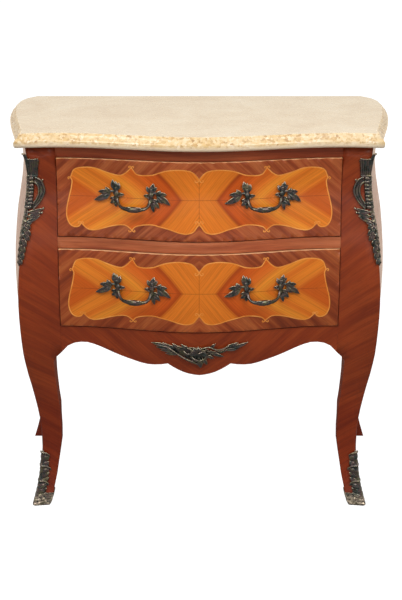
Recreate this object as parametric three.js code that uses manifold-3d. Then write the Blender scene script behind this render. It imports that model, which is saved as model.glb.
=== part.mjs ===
// A bombe commode with two drawers, a moulded marble top and cast bronze mounts.
// Millimetres, +Z up. The front faces -Y, and left and right are as seen from the front.

import * as THREE from "three";
import { mergeVertices } from "three/addons/utils/BufferGeometryUtils.js";
import Module from "manifold-3d";

const solidKernel = await Module();
solidKernel.setup();

// Overall sizes
const overallHeight = 872;
const marbleThickness = 29;
const seatGap = 0.3;
const glueLine = 0.25;
const carcassHeight = overallHeight - marbleThickness - seatGap;
const carcassDepth = 388;

// The bombe surface: the corner line swells in height, the front bows, the sides flare to the back
const cornerHalfWidth = 363;
const cornerSwell = 30.5;
const frontSwell = 32;
const bowDepth = 42;
const bowWaveShare = 0.82645;
const bowHalfWave = cornerHalfWidth * bowWaveShare;
const bowSteps = 24;
const sideFlare = 45;
const rearRoundWidth = 38;
const rearRoundDepth = 78;
const flarePower = 1.25;
const cornerSwellShares = [
  [0, 0.6], [0.055, 0.2], [0.1, 0], [0.153, -0.12], [0.243, -0.03], [0.34, 0.35], [0.4, 0.65],
  [0.474, 0.9], [0.617, 1], [0.76, 0.64], [0.85, 0.18], [0.912, 0], [1, 0.16],
];

// Front rails, apron and drawer openings
const railThickness = 24;
const apronTopShare = 0.5298;
const apronTop = carcassHeight * apronTopShare;
const apronDepth = 103;
const middleRailTopShare = 0.76896;
const middleRailHeight = 24;
const middleRailTop = carcassHeight * middleRailTopShare;
const middleRailBottom = middleRailTop - middleRailHeight;
const topRailHeight = 22.7;
const topRailBottom = carcassHeight - topRailHeight;
const tenonLength = 18;
const tenonThickness = 10;
const tenonShoulder = 4;
const apronTenonShare = 0.3;
const mortiseClearance = 0.3;
const lobeEdgeShares = [[0, 1], [0.25, 0.975], [0.5, 0.925], [0.78, 0.83], [1, 0.733]];
const lobeHalfWidthShare = 0.226;
const archEdgeShares = [
  [0.226, 0.733], [0.294, 0.772], [0.379, 0.777], [0.472, 0.709], [0.583, 0.602], [0.667, 0.5],
  [0.744, 0.408], [0.825, 0.354], [0.926, 0.408], [0.981, 0.539], [1, 0.617],
];
const archEndShare = archEdgeShares[archEdgeShares.length - 1][1];
const apronSideSteps = 16;
const apronLobeSteps = 12;
const apronRows = 3;

// Legs and stiles; the knee is where the arch of the apron meets the leg
const stileWidth = 58;
const openingHalfWidth = cornerHalfWidth - stileWidth;
const kneeHeight = apronTop - apronDepth * archEndShare;
const kneeWidth = 65;
const kneeBlendShare = 0.95;
const legTopShares = [0.94, 0.97];
const legStationCount = 12;
const stileStationCount = 16;
const legWidthShares = [
  [0, 0.49], [0.04, 0.54], [0.1, 0.554], [0.2, 0.554], [0.3, 0.588], [0.4, 0.67], [0.54, 0.71],
  [0.63, 0.777], [0.73, 0.81], [0.87, 0.92], [0.97, 0.99], [1, 1],
];
const legEdgeRadius = 2.5;
const legInnerChamfer = 7;
const legFaceSteps = 3;
const rearLegSteps = 5;
const frontStileBack = 40;
const rearLegDepth = 55;
const rearStileFront = carcassDepth - rearLegDepth;
const rearStileInset = 36;
const rearStileInner = cornerHalfWidth - rearStileInset;
const rearLegBackWidth = 39;
const rearLegBackShares = [
  [0, 0.1], [0.04, 0.14], [0.1, 0.16], [0.2, 0.16], [0.3, 0.22], [0.4, 0.38], [0.54, 0.45],
  [0.63, 0.58], [0.73, 0.64], [0.87, 0.85], [0.97, 0.98], [1, 1],
];
const rearLegDepthShares = [[0, 0.86], [0.2, 0.68], [0.45, 0.66], [0.8, 0.84], [1, 1]];

// Side panels
const sidePanelThickness = 16;
const sideEdgeAboveKnee = 29;
const sideEdgeHigh = kneeHeight + sideEdgeAboveKnee;
const sideEdgeDrop = 36;
const sidePanelColumns = 14;
const sidePanelRows = 11;
const sidePanelInnerRows = 6;
const sideEdgeShares = [
  [0, 0.8], [0.06, 0.5], [0.17, 0], [0.33, 0.35], [0.5, 1], [0.67, 0.35], [0.83, 0], [0.94, 0.5], [1, 0.8],
];

// Back, boards and drawer bearers
const backPanelThickness = 8;
const backRailThickness = 20;
const bottomBackRailHeight = 34;
const topBackRailHeight = 40;
const boardThickness = 8;
const topBoardThickness = 10;
const runnerWidth = 42;
const runnerHeight = 18;
const lowerRunnerHeight = 10;
const guideHeight = 16;
const guideClearance = 1;
const boardWingSteps = 10;

// Drawers
const drawerGap = 1.5;
const drawerProud = 3;
const drawerFrontThickness = 18;
const drawerEdgeBevel = 2;
const drawerFaceRows = 5;
const drawerSideThickness = 12;
const drawerBackThickness = 12;
const drawerBottomThickness = 6;
const drawerBottomRise = 9;
const drawerSideSetIn = 2.5;
const drawerSideHeightShare = 0.86;
const drawerBackSpace = 16;
const runningGap = 0.4;

// Marble top
const marbleOverhang = 13;
const marbleSideOverhang = 21.6;
const marbleRearOverhang = 5;
const marbleEdgeRecess = 14;
const marbleTurnWidth = 60;
const marbleTurnDepth = 92;
const marbleEdgeShares = [
  [0.36, 0], [0.1, 0.07], [0, 0.2], [0, 0.42], [0.14, 0.55], [0.44, 0.63], [0.64, 0.84], [1, 1],
];
const marbleFrontSteps = 28;
const marbleSideSteps = 13;
const outlineSteps = 60;

// Bronze handles: outlines are shares of the half width, across and up from the middle of the grip
const handleHalfWidth = 78;
const handleSpreadShare = 0.456;
const handleSpread = openingHalfWidth * handleSpreadShare;
const handleDropShare = 0.17;
const bronzeSeat = 0.35;
const bronzeSink = 1.5;
const leafThickness = 3.6;
const bossRadius = 6;
const bossHeight = 10.5;
const bossShares = [0.41, 0.26];
const upperLeafShares = [
  [0.36, 0.12], [0.5, 0.12], [0.52, 0.33], [0.6, 0.42], [0.63, 0.54], [0.55, 0.6], [0.52, 0.55],
  [0.5, 0.66], [0.43, 0.65], [0.4, 0.55], [0.36, 0.6], [0.32, 0.55], [0.37, 0.44], [0.36, 0.36],
  [0.29, 0.355], [0.28, 0.3], [0.36, 0.265],
];
const outerLeafShares = [
  [0.44, 0.24], [0.52, 0.32], [0.62, 0.335], [0.68, 0.37], [0.73, 0.47], [0.79, 0.44], [0.8, 0.37],
  [0.88, 0.35], [0.92, 0.27], [1, 0.13], [0.9, 0.13], [0.82, 0.16], [0.74, 0.13], [0.67, 0.19],
  [0.58, 0.2], [0.47, 0.13],
];
const lowerLeafShares = [
  [0.42, 0.2], [0.49, 0.13], [0.58, 0.12], [0.69, 0.02], [0.6, -0.02], [0.52, -0.01], [0.47, -0.08],
  [0.4, -0.03], [0.37, 0.1],
];
const gripStations = 12;
const gripSides = 6;
const gripPathShares = [
  [0.41, 0.26, 0.05], [0.41, 0.15, 0.17], [0.34, 0.03, 0.29], [0.17, -0.01, 0.335], [0, -0.015, 0.35],
];
const gripRadiusShares = [[0, 0.055], [0.3, 0.045], [0.5, 0.048], [0.72, 0.057], [1, 0.064]];

// Screws that hold the handles from inside the drawer
const screwRadius = 2;
const screwHeadRadius = 4.6;
const screwHeadHeight = 2.4;
const screwBite = 6;
const screwClearance = 0.35;
const screwFacets = 8;
const counterboreDepth = 2;

// Bronze corner mounts: fall from the top, reach on the front and on the side, and added lift
const bronzeThickness = 4.5;
const mountReach = 43;
const mountFall = 8.7;
const mountTop = carcassHeight - mountFall;
const mountLength = 245;
const sheetEdgeShares = [0.5, 1, 1, 1, 0.5];
const cornerMountShares = [
  [0, 0.06, 0.06, 1.3], [0.03, 0.16, 0.16, 0.9], [0.058, 0.5, 0.36, 0.45], [0.062, 0.7, 0.5, 0.4],
  [0.12, 0.62, 0.46, 0.2], [0.19, 0.52, 0.4, 0], [0.21, 0.36, 0.34, 0], [0.35, 0.34, 0.32, 0.1],
  [0.48, 0.36, 0.34, 0.1], [0.497, 0.95, 0.5, 0.15], [0.53, 1, 0.52, 0.2], [0.585, 0.8, 0.46, 0.1],
  [0.605, 0.46, 0.4, 0], [0.66, 0.48, 0.4, 0.1], [0.72, 0.5, 0.4, 0.1], [0.738, 0.66, 0.5, 0.1],
  [0.76, 0.46, 0.38, 0.1], [0.79, 0.34, 0.3, 0], [0.82, 0.31, 0.28, 0], [0.9, 0.35, 0.3, 0.2],
  [0.96, 0.3, 0.26, 0.2], [1, 0.12, 0.12, 0],
];
const scrollRadius = 3;
const scrollStations = 11;
const scrollSides = 6;
const scrollLift = 3.4;
const scrollPathShares = [
  [0.3, 0.19], [0.62, 0.215], [0.86, 0.26], [0.93, 0.33], [0.86, 0.4], [0.68, 0.455], [0.45, 0.505],
];

// Bronze shoes of the front legs, with a leaf up the outer edge
const shoeHeight = 27;
const shoeFloor = 3.5;
const shoeWall = 3.4;
const shoeFlareShares = [[0, 0.75], [0.16, 1], [0.42, 1], [0.6, 0.7], [0.8, 0.82], [1, 0.6]];
const shoeLeafReach = 19;
const shoeLeafHeight = 104;
const shoeLeafThinShare = 0.75;
const shoeLeafRise = 3;
const shoeLeafShares = [
  [0, 0.95, 0], [0.14, 1, 0.1], [0.16, 0.9, 0], [0.34, 0.95, 0.1], [0.36, 0.85, 0], [0.52, 0.9, 0.1],
  [0.54, 0.78, 0], [0.7, 0.8, 0.1], [0.72, 0.66, 0], [0.86, 0.6, 0.1], [1, 0.12, 0],
];

// Bronze spray on the apron: low edge, high edge and lift, as shares across its half width
const sprayHalfWidth = 108;
const sprayDrop = 80.5;
const sprayBase = apronTop - sprayDrop;
const sprayHeight = 62;
const sprayEdgeShares = [0.5, 1, 0.5];
const sprayShares = [
  [-1, 0.86, 0.94, 0.3], [-0.93, 0.82, 0.99, 0.5], [-0.84, 0.7, 0.95, 0.7], [-0.7, 0.56, 0.92, 0.8],
  [-0.55, 0.48, 0.86, 0.9], [-0.4, 0.5, 0.93, 1], [-0.26, 0.36, 0.92, 1], [-0.12, 0.2, 0.88, 1.1],
  [0, 0, 0.86, 1.2], [0.09, 0.02, 0.9, 1.2], [0.15, 0.16, 0.9, 1.1], [0.25, 0.3, 0.88, 1],
  [0.38, 0.42, 0.8, 0.9], [0.5, 0.44, 0.78, 0.9], [0.56, 0.6, 0.82, 0.8], [0.7, 0.66, 0.88, 0.7],
  [0.85, 0.7, 0.97, 0.6], [0.94, 0.76, 0.99, 0.5], [1, 0.88, 0.95, 0.3],
];

const materials = {
  veneer: new THREE.MeshStandardMaterial({ color: 0x7c3a1c, roughness: 0.35, metalness: 0 }),
  marquetry: new THREE.MeshStandardMaterial({ color: 0xc26d24, roughness: 0.35, metalness: 0 }),
  carcassWood: new THREE.MeshStandardMaterial({ color: 0xb08a5a, roughness: 0.7, metalness: 0 }),
  drawerWood: new THREE.MeshStandardMaterial({ color: 0xc49a66, roughness: 0.65, metalness: 0 }),
  marble: new THREE.MeshStandardMaterial({ color: 0xecdcc2, roughness: 0.25, metalness: 0 }),
  bronze: new THREE.MeshStandardMaterial({ color: 0x4a4436, roughness: 0.45, metalness: 0.9 }),
  steel: new THREE.MeshStandardMaterial({ color: 0x8c8c88, roughness: 0.4, metalness: 0.9 }),
};

// Smooth curve through points with rising first numbers, read at one place
function curveThrough(points, at) {
  const last = points.length - 1;
  let i = 0;
  while (i < last - 1 && at > points[i + 1][0]) i++;
  const slope = (a, b) => (points[b][1] - points[a][1]) / (points[b][0] - points[a][0]);
  const tangent = (k) => (k === 0 ? slope(0, 1) : k === last ? slope(last - 1, last) : slope(k - 1, k + 1));
  const span = points[i + 1][0] - points[i][0];
  const t = THREE.MathUtils.clamp((at - points[i][0]) / span, 0, 1);
  const t2 = t * t;
  const t3 = t2 * t;
  return (
    points[i][1] * (2 * t3 - 3 * t2 + 1) + points[i + 1][1] * (3 * t2 - 2 * t3) +
    tangent(i) * span * (t3 - 2 * t2 + t) + tangent(i + 1) * span * (t3 - t2)
  );
}

// Evenly spaced numbers, both ends included
function steps(from, to, count) {
  return Array.from({ length: count + 1 }, (_, i) => from + ((to - from) * i) / count);
}

// The surface of the case
function swellShare(z) {
  return curveThrough(cornerSwellShares, z / carcassHeight);
}

function cornerX(z) {
  return cornerHalfWidth + cornerSwell * swellShare(z);
}

function bowShare(x) {
  return 0.5 + 0.5 * Math.cos((Math.PI * x) / bowHalfWave);
}

function frontY(x, z) {
  return -frontSwell * swellShare(z) - bowDepth * bowShare(x);
}

const turnStart = carcassDepth - rearRoundDepth;

function turnedSideX(y, z, turnWidth, turnDepth) {
  const along = THREE.MathUtils.clamp(y / turnStart, 0, 1);
  const flare = sideFlare * Math.sin((Math.PI / 2) * along) ** flarePower;
  const turn = THREE.MathUtils.clamp((y - turnStart) / turnDepth, 0, 1);
  return cornerX(z) + flare - turnWidth * (1 - Math.sqrt(1 - turn * turn));
}

function sideX(y, z) {
  return turnedSideX(y, z, rearRoundWidth, rearRoundDepth);
}

// A closed body through equal rings of points, with flat ends
function loft(rings) {
  const size = rings[0].length;
  const index = [];
  for (let r = 0; r + 1 < rings.length; r++)
    for (let i = 0; i < size; i++) {
      const a = r * size + i;
      const b = r * size + ((i + 1) % size);
      index.push(a, b, b + size, a, b + size, a + size);
    }
  const last = rings.length - 1;
  index.push(...capFaces(rings[0], 0, true), ...capFaces(rings[last], last * size, false));
  const geometry = new THREE.BufferGeometry();
  const positions = rings.flat().flatMap((p) => [p.x, p.y, p.z]);
  geometry.setAttribute("position", new THREE.Float32BufferAttribute(positions, 3));
  geometry.setIndex(index);
  return facingOut(geometry);
}

function capFaces(ring, first, flip) {
  const axis = ringNormal(ring);
  const across = new THREE.Vector3(axis.y, axis.z, axis.x).cross(axis).normalize();
  const up = axis.clone().cross(across);
  const flat = ring.map((p) => new THREE.Vector2(p.dot(across), p.dot(up)));
  const order = flip ? ([a, b, c]) => [a, c, b] : (face) => face;
  return THREE.ShapeUtils.triangulateShape(flat, []).flatMap((face) => order(face).map((k) => first + k));
}

function ringNormal(ring) {
  const normal = new THREE.Vector3();
  ring.forEach((p, i) => normal.add(p.clone().cross(ring[(i + 1) % ring.length])));
  return normal.normalize();
}

function signedVolume(geometry) {
  const p = geometry.getAttribute("position");
  const corner = (k) => new THREE.Vector3().fromBufferAttribute(p, geometry.index.getX(k));
  let sum = 0;
  for (let k = 0; k < geometry.index.count; k += 3) sum += corner(k).dot(corner(k + 1).cross(corner(k + 2)));
  return sum / 6;
}

// Turns every face over when they point inwards
function facingOut(geometry) {
  if (signedVolume(geometry) < 0) {
    const index = Array.from(geometry.index.array);
    for (let k = 0; k < index.length; k += 3) [index[k + 1], index[k + 2]] = [index[k + 2], index[k + 1]];
    geometry.setIndex(index);
  }
  return geometry;
}

function mirrored(geometry) {
  return facingOut(indexed(geometry).scale(-1, 1, 1));
}

// Positions only, with each corner held once
function indexed(geometry) {
  const bare = new THREE.BufferGeometry();
  bare.setAttribute("position", geometry.getAttribute("position").clone());
  if (geometry.index) bare.setIndex(geometry.index.clone());
  return mergeVertices(bare);
}

// Joining and cutting of solids
function toSolid(geometry) {
  const whole = indexed(geometry);
  return new solidKernel.Manifold(
    new solidKernel.Mesh({
      numProp: 3,
      vertProperties: whole.getAttribute("position").array,
      triVerts: new Uint32Array(whole.index.array),
    }),
  );
}

function toGeometry(solid) {
  const mesh = solid.getMesh();
  const geometry = new THREE.BufferGeometry();
  geometry.setAttribute("position", new THREE.BufferAttribute(new Float32Array(mesh.vertProperties), 3));
  geometry.setIndex(new THREE.BufferAttribute(new Uint32Array(mesh.triVerts), 1));
  return geometry;
}

function joined(geometries) {
  return geometries.map(toSolid).reduce((sum, next) => sum.add(next));
}

function boxGeometry([x0, x1], [y0, y1], [z0, z1]) {
  const box = new THREE.BoxGeometry(x1 - x0, y1 - y0, z1 - z0);
  return box.translate((x0 + x1) / 2, (y0 + y1) / 2, (z0 + z1) / 2);
}

// A round pin along y
function pin(x, z, radius, [y0, y1]) {
  return new THREE.CylinderGeometry(radius, radius, y1 - y0, screwFacets).translate(x, (y0 + y1) / 2, z);
}

// A round bar of changing thickness along a path
function bar(path, stations, sides, radiusAt) {
  const frames = path.computeFrenetFrames(stations, false);
  return loft(
    steps(0, 1, stations).map((t, i) => {
      const centre = path.getPointAt(t);
      return steps(0, 2 * Math.PI, sides).slice(1).map((a) => {
        const out = frames.normals[i].clone().multiplyScalar(Math.cos(a));
        out.add(frames.binormals[i].clone().multiplyScalar(Math.sin(a)));
        return centre.clone().add(out.multiplyScalar(radiusAt(t)));
      });
    }),
  );
}

// Moves a closed outline outwards by a distance, corner by corner
function grownLoop(loop, distance) {
  const area = loop.reduce((sum, p, i) => sum + p.cross(loop[(i + 1) % loop.length]), 0);
  const outward = Math.sign(area);
  const normalOf = (edge) => new THREE.Vector2(edge.y, -edge.x).normalize().multiplyScalar(outward);
  return loop.map((p, i) => {
    const before = normalOf(p.clone().sub(loop[(i + loop.length - 1) % loop.length]));
    const after = normalOf(loop[(i + 1) % loop.length].clone().sub(p));
    const miter = before.clone().add(after).normalize();
    return p.clone().add(miter.multiplyScalar(distance / Math.max(0.5, miter.dot(before))));
  });
}

const raised = (loop, z) => loop.map((p) => new THREE.Vector3(p.x, p.y, z));

const group = new THREE.Group();
const carcass = new THREE.Group();
const drawers = new THREE.Group();
group.add(carcass, drawers);

function addPiece(parent, name, geometry, material) {
  const mesh = new THREE.Mesh(geometry, material);
  mesh.name = name;
  parent.add(mesh);
  return mesh;
}

function addPair(parent, name, geometry, material) {
  addPiece(parent, `${name}_right`, geometry, material);
  addPiece(parent, `${name}_left`, mirrored(geometry), material);
}

function addBoard(parent, name, [x0, x1], [y0, y1], [z0, z1], material) {
  const mesh = addPiece(parent, name, new THREE.BoxGeometry(x1 - x0, y1 - y0, z1 - z0), material);
  mesh.position.set((x0 + x1) / 2, (y0 + y1) / 2, (z0 + z1) / 2);
}

// Legs
function legWidth(z) {
  return kneeWidth * curveThrough(legWidthShares, Math.min(1, z / kneeHeight));
}

function legInner(z) {
  const kneeBlend = THREE.MathUtils.smoothstep(z, kneeHeight * kneeBlendShare, kneeHeight);
  return THREE.MathUtils.lerp(cornerX(z) - legWidth(z), openingHalfWidth, kneeBlend);
}

function frontLegSection(z) {
  const corner = cornerX(z);
  const inner = legInner(z);
  const front = frontY(corner, z);
  const back = z >= kneeHeight ? frontStileBack : Math.min(frontStileBack, front + legWidth(z));
  const chamfer = z >= kneeHeight ? legEdgeRadius : legInnerChamfer;
  const across = steps(inner, corner - legEdgeRadius, legFaceSteps);
  const loop = across.map((x) => new THREE.Vector2(x, frontY(x, z)));
  const rearwards = steps(front + legEdgeRadius, back, legFaceSteps);
  loop.push(...rearwards.map((y) => new THREE.Vector2(sideX(y, z), y)));
  loop.push(new THREE.Vector2(inner + chamfer, back));
  loop.push(new THREE.Vector2(inner, back - chamfer));
  return loop;
}

function rearLegSection(z) {
  const depth = rearLegDepth * curveThrough(rearLegDepthShares, Math.min(1, z / kneeHeight));
  const front = carcassDepth - depth;
  const flat = rearLegBackWidth * curveThrough(rearLegBackShares, Math.min(1, z / kneeHeight));
  const inner = z >= kneeHeight ? rearStileInner : sideX(carcassDepth, z) - flat;
  const loop = steps(front, carcassDepth, rearLegSteps).map((y) => new THREE.Vector2(sideX(y, z), y));
  loop.push(new THREE.Vector2(inner, carcassDepth));
  loop.push(new THREE.Vector2(inner, front + legInnerChamfer));
  loop.push(new THREE.Vector2(inner + legInnerChamfer, front));
  return loop;
}

const legHeights = [
  ...steps(0, kneeHeight * legTopShares[0], legStationCount),
  kneeHeight * legTopShares[1],
  ...steps(kneeHeight, carcassHeight, stileStationCount),
];

function legLoft(section, foot, growth = 0) {
  return loft([foot, ...legHeights.slice(1)].map((z) => raised(grownLoop(section(z), growth), z)));
}

// Rails with tenons, and the mortises that take them
function tenonBox([yCentre, [z0, z1]], growth) {
  const half = tenonThickness / 2 + growth;
  return boxGeometry(
    [openingHalfWidth - tenonShoulder, openingHalfWidth + tenonLength + growth],
    [yCentre - half, yCentre + half],
    [z0 + tenonShoulder - growth, z1 - tenonShoulder + growth],
  );
}

const railCentre = (z) => frontY(openingHalfWidth, z) + railThickness / 2;
const topTenon = [railCentre(topRailBottom), [topRailBottom, carcassHeight - tenonShoulder]];
const middleTenon = [railCentre(middleRailTop), [middleRailBottom, middleRailTop]];
const apronTenon = [railCentre(apronTop), [apronTop - apronDepth * apronTenonShare, apronTop]];

function frontLeg() {
  return [topTenon, middleTenon, apronTenon].reduce(
    (leg, tenon) => leg.subtract(toSolid(tenonBox(tenon, mortiseClearance))),
    toSolid(legLoft(frontLegSection, shoeFloor + seatGap)),
  );
}

// A curved rail between the stiles: each ring is a section across it
function railLoft(lowEdge, highEdge, columns, rows) {
  return loft(
    columns.map((x) => {
      const heights = steps(lowEdge(x), highEdge(x), rows);
      const outer = heights.map((z) => new THREE.Vector3(x, frontY(x, z), z));
      const inner = heights.map((z) => new THREE.Vector3(x, frontY(x, z) + railThickness, z)).reverse();
      return [...outer, ...inner];
    }),
  );
}

function tenonedRail(blank, tenonPlace) {
  const tenon = tenonBox(tenonPlace, 0);
  return toGeometry(joined([blank, tenon, mirrored(tenon)]));
}

function apronEdge(x) {
  const share = Math.abs(x) / openingHalfWidth;
  const inLobe = share < lobeHalfWidthShare;
  const lobeShare = share / lobeHalfWidthShare;
  const drop = inLobe ? curveThrough(lobeEdgeShares, lobeShare) : curveThrough(archEdgeShares, share);
  return apronTop - apronDepth * drop;
}

const railEnd = openingHalfWidth - glueLine;
const lobeEnd = openingHalfWidth * lobeHalfWidthShare;
const apronColumns = [
  ...steps(-railEnd, -lobeEnd, apronSideSteps),
  ...steps(-lobeEnd, lobeEnd, apronLobeSteps).slice(1, -1),
  ...steps(lobeEnd, railEnd, apronSideSteps),
];
const railColumns = steps(-railEnd, railEnd, bowSteps);
const topRail = railLoft(() => topRailBottom, () => carcassHeight, railColumns, 1);
const middleRail = railLoft(() => middleRailBottom, () => middleRailTop, railColumns, 1);
const apron = railLoft(apronEdge, () => apronTop, apronColumns, apronRows);

addPair(carcass, "front_leg", toGeometry(frontLeg()), materials.veneer);
addPair(carcass, "rear_leg", legLoft(rearLegSection, 0), materials.veneer);
addPiece(carcass, "top_front_rail", tenonedRail(topRail, topTenon), materials.veneer);
addPiece(carcass, "middle_front_rail", tenonedRail(middleRail, middleTenon), materials.veneer);
addPiece(carcass, "front_apron", tenonedRail(apron, apronTenon), materials.veneer);

// Side panels
function sideEdge(y) {
  const share = (y - frontStileBack) / (rearStileFront - frontStileBack);
  return sideEdgeHigh - sideEdgeDrop * curveThrough(sideEdgeShares, share);
}

const sidePanel = loft(
  steps(frontStileBack + glueLine, rearStileFront - glueLine, sidePanelColumns).map((y) => {
    const outerHeights = steps(sideEdge(y), carcassHeight, sidePanelRows);
    const outer = outerHeights.map((z) => new THREE.Vector3(sideX(y, z), y, z));
    const heights = steps(sideEdge(y), carcassHeight, sidePanelInnerRows);
    const inner = heights.map((z) => new THREE.Vector3(sideX(y, z) - sidePanelThickness, y, z));
    return [...outer, ...inner.reverse()];
  }),
);
addPair(carcass, "side_panel", sidePanel, materials.veneer);

// Back frame and panel
const backRailFront = carcassDepth - backRailThickness;
const backHalf = rearStileInner - glueLine;
const topRailZ = [carcassHeight - topBackRailHeight, carcassHeight];
const bottomRailZ = [apronTop - bottomBackRailHeight, apronTop];
const panelZ = [bottomRailZ[1] + glueLine, topRailZ[0] - glueLine];
const railY = [backRailFront, carcassDepth];
const panelY = [carcassDepth - backPanelThickness, carcassDepth];
addBoard(carcass, "top_back_rail", [-backHalf, backHalf], railY, topRailZ, materials.carcassWood);
addBoard(carcass, "bottom_back_rail", [-backHalf, backHalf], railY, bottomRailZ, materials.carcassWood);
addBoard(carcass, "back_panel", [-backHalf, backHalf], panelY, panelZ, materials.carcassWood);

// Boards and bearers inside the case
const bearerOuter = openingHalfWidth + guideClearance + drawerSideThickness;
const bearerInner = bearerOuter - runnerWidth;
const guideInner = openingHalfWidth - drawerSideSetIn + guideClearance;
const lowerBoardTop = apronTop - lowerRunnerHeight - glueLine;
const topBoardBottom = carcassHeight - topBoardThickness;
const dustPanelBottom = middleRailTop - runnerHeight;
const railBack = backRailFront - glueLine;
const panelBack = carcassDepth - backPanelThickness - glueLine;
const besideStile = frontStileBack + glueLine;

// How far forward a flat board can come behind a rail
function behindRail(x, zs) {
  return Math.max(...zs.map((z) => frontY(x, z))) + railThickness + glueLine;
}

function bowedBoard(halfWidth, [z0, z1], frontAt, back) {
  return loft(
    steps(-halfWidth, halfWidth, bowSteps).map((x) => {
      const corners = [[frontAt(x), z0], [back, z0], [back, z1], [frontAt(x), z1]];
      return corners.map(([y, z]) => new THREE.Vector3(x, y, z));
    }),
  );
}

// A board across the whole case, notched round the stiles and cut to the curved side panels
const panelClearance = sidePanel.clone().translate(-glueLine, 0, 0);

function caseBoard(zs) {
  const middle = bowedBoard(railEnd, zs, (x) => behindRail(x, zs), railBack);
  const wings = loft(
    steps(besideStile, rearStileFront - glueLine, boardWingSteps).map((y) => {
      const half = Math.min(...zs.map((z) => sideX(y, z))) - sidePanelThickness / 2;
      const corners = [[-half, zs[0]], [half, zs[0]], [half, zs[1]], [-half, zs[1]]];
      return corners.map(([x, z]) => new THREE.Vector3(x, y, z));
    }),
  );
  const rear = boxGeometry([-backHalf, backHalf], [besideStile, railBack], zs);
  const blank = joined([middle, wings, rear]);
  return toGeometry(blank.subtract(toSolid(panelClearance)).subtract(toSolid(mirrored(panelClearance))));
}

// A drawer bearer, notched round the front stile
function bearer(zs, back) {
  const inner = boxGeometry([bearerInner, railEnd], [behindRail(railEnd, zs), back], zs);
  const outer = boxGeometry([bearerInner, bearerOuter], [besideStile, back], zs);
  return toGeometry(joined([inner, outer]));
}

function guide(z) {
  return boxGeometry([guideInner, bearerOuter], [besideStile, railBack], [z + glueLine, z + guideHeight]);
}

const upperBearer = bearer([dustPanelBottom, middleRailTop], panelBack);
const lowerBearer = bearer([apronTop - lowerRunnerHeight, apronTop], railBack);
const kicker = bearer([topRailBottom, topBoardBottom - glueLine], railBack);
const dustPanelZ = [dustPanelBottom, dustPanelBottom + boardThickness];
const behindMiddleRail = (x) => behindRail(x, dustPanelZ);
const dustPanel = bowedBoard(bearerInner - glueLine, dustPanelZ, behindMiddleRail, panelBack);
addPair(carcass, "upper_runner", upperBearer, materials.carcassWood);
addPair(carcass, "lower_runner", lowerBearer, materials.carcassWood);
addPair(carcass, "kicker", kicker, materials.carcassWood);
addPair(carcass, "upper_guide", guide(middleRailTop), materials.carcassWood);
addPair(carcass, "lower_guide", guide(apronTop), materials.carcassWood);
addPiece(carcass, "top_board", caseBoard([topBoardBottom, carcassHeight]), materials.carcassWood);
const bottomBoard = caseBoard([lowerBoardTop - boardThickness, lowerBoardTop]);
addPiece(carcass, "bottom_board", bottomBoard, materials.carcassWood);
addPiece(carcass, "dust_panel", dustPanel, materials.carcassWood);

// Marble top: the case's outline grown by the overhang, with a moulded edge.
// Its side follows the grown outline up to the flat rear edge, in equal steps.
function marbleSide(points, rear) {
  const cut = points.findIndex((p) => p.y > rear);
  const [last, next] = [points[cut - 1], points[cut]];
  const end = last.clone().lerp(next, (rear - last.y) / (next.y - last.y));
  const kept = [...points.slice(0, cut), end];
  const path = new THREE.CurvePath();
  kept.slice(1).forEach((p, i) => path.add(new THREE.LineCurve(kept[i], p)));
  return path.getSpacedPoints(marbleSideSteps);
}

function marbleRing(growth) {
  const z = carcassHeight;
  const wider = marbleSideOverhang - marbleOverhang;
  const corner = cornerX(z) + wider;
  const front = steps(-corner, corner, marbleFrontSteps).map((x) => new THREE.Vector2(x, frontY(x, z)));
  const straight = steps(frontY(corner, z), turnStart, outlineSteps).slice(1);
  const quarter = steps(0, Math.PI / 2, outlineSteps).slice(1);
  const turn = quarter.map((a) => turnStart + marbleTurnDepth * Math.sin(a));
  const outlineX = (y) => turnedSideX(y, z, marbleTurnWidth, marbleTurnDepth) + wider;
  const right = [...straight, ...turn].map((y) => new THREE.Vector2(outlineX(y), y));
  const leftOf = (points) => points.map((p) => new THREE.Vector2(-p.x, p.y)).reverse();
  const grown = grownLoop([...front, ...right, ...leftOf(right)], growth);
  const grownRight = grown.slice(marbleFrontSteps, marbleFrontSteps + right.length);
  const side = marbleSide(grownRight, carcassDepth + marbleRearOverhang);
  return [...grown.slice(0, marbleFrontSteps), ...side, ...leftOf(side.slice(1))];
}

const marbleTop = loft(
  marbleEdgeShares.map(([inset, rise]) => {
    const z = carcassHeight + seatGap + rise * marbleThickness;
    return raised(marbleRing(marbleOverhang - inset * marbleEdgeRecess), z);
  }),
);
addPiece(carcass, "marble_top", marbleTop, materials.marble);

// Castings are first made to sink into the wood behind them, then cut back to just clear its face.
// A leaf of the handle casting, lying flat: y is its lift off the drawer.
function leafPlate(shares) {
  const points = shares.map(([u, v]) => new THREE.Vector2(u, v).multiplyScalar(handleHalfWidth));
  const depth = leafThickness + bronzeSink;
  const plate = new THREE.ExtrudeGeometry(new THREE.Shape(points), { depth, bevelEnabled: false });
  return facingOut(indexed(plate.rotateX(-Math.PI / 2).scale(1, 1, -1).translate(0, -bronzeSink, 0)));
}

function gripBar() {
  const shares = gripPathShares.map(([u, v, lift]) => new THREE.Vector3(u, lift, v));
  const half = shares.map((p) => p.multiplyScalar(handleHalfWidth));
  const other = half.slice(0, -1).map((p) => new THREE.Vector3(-p.x, p.y, p.z)).reverse();
  const path = new THREE.CatmullRomCurve3([...half, ...other]);
  const radiusAt = (t) => handleHalfWidth * curveThrough(gripRadiusShares, 1 - Math.abs(2 * t - 1));
  return bar(path, gripStations, gripSides, radiusAt);
}

const bossX = bossShares[0] * handleHalfWidth;
const bossZ = bossShares[1] * handleHalfWidth;

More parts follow.
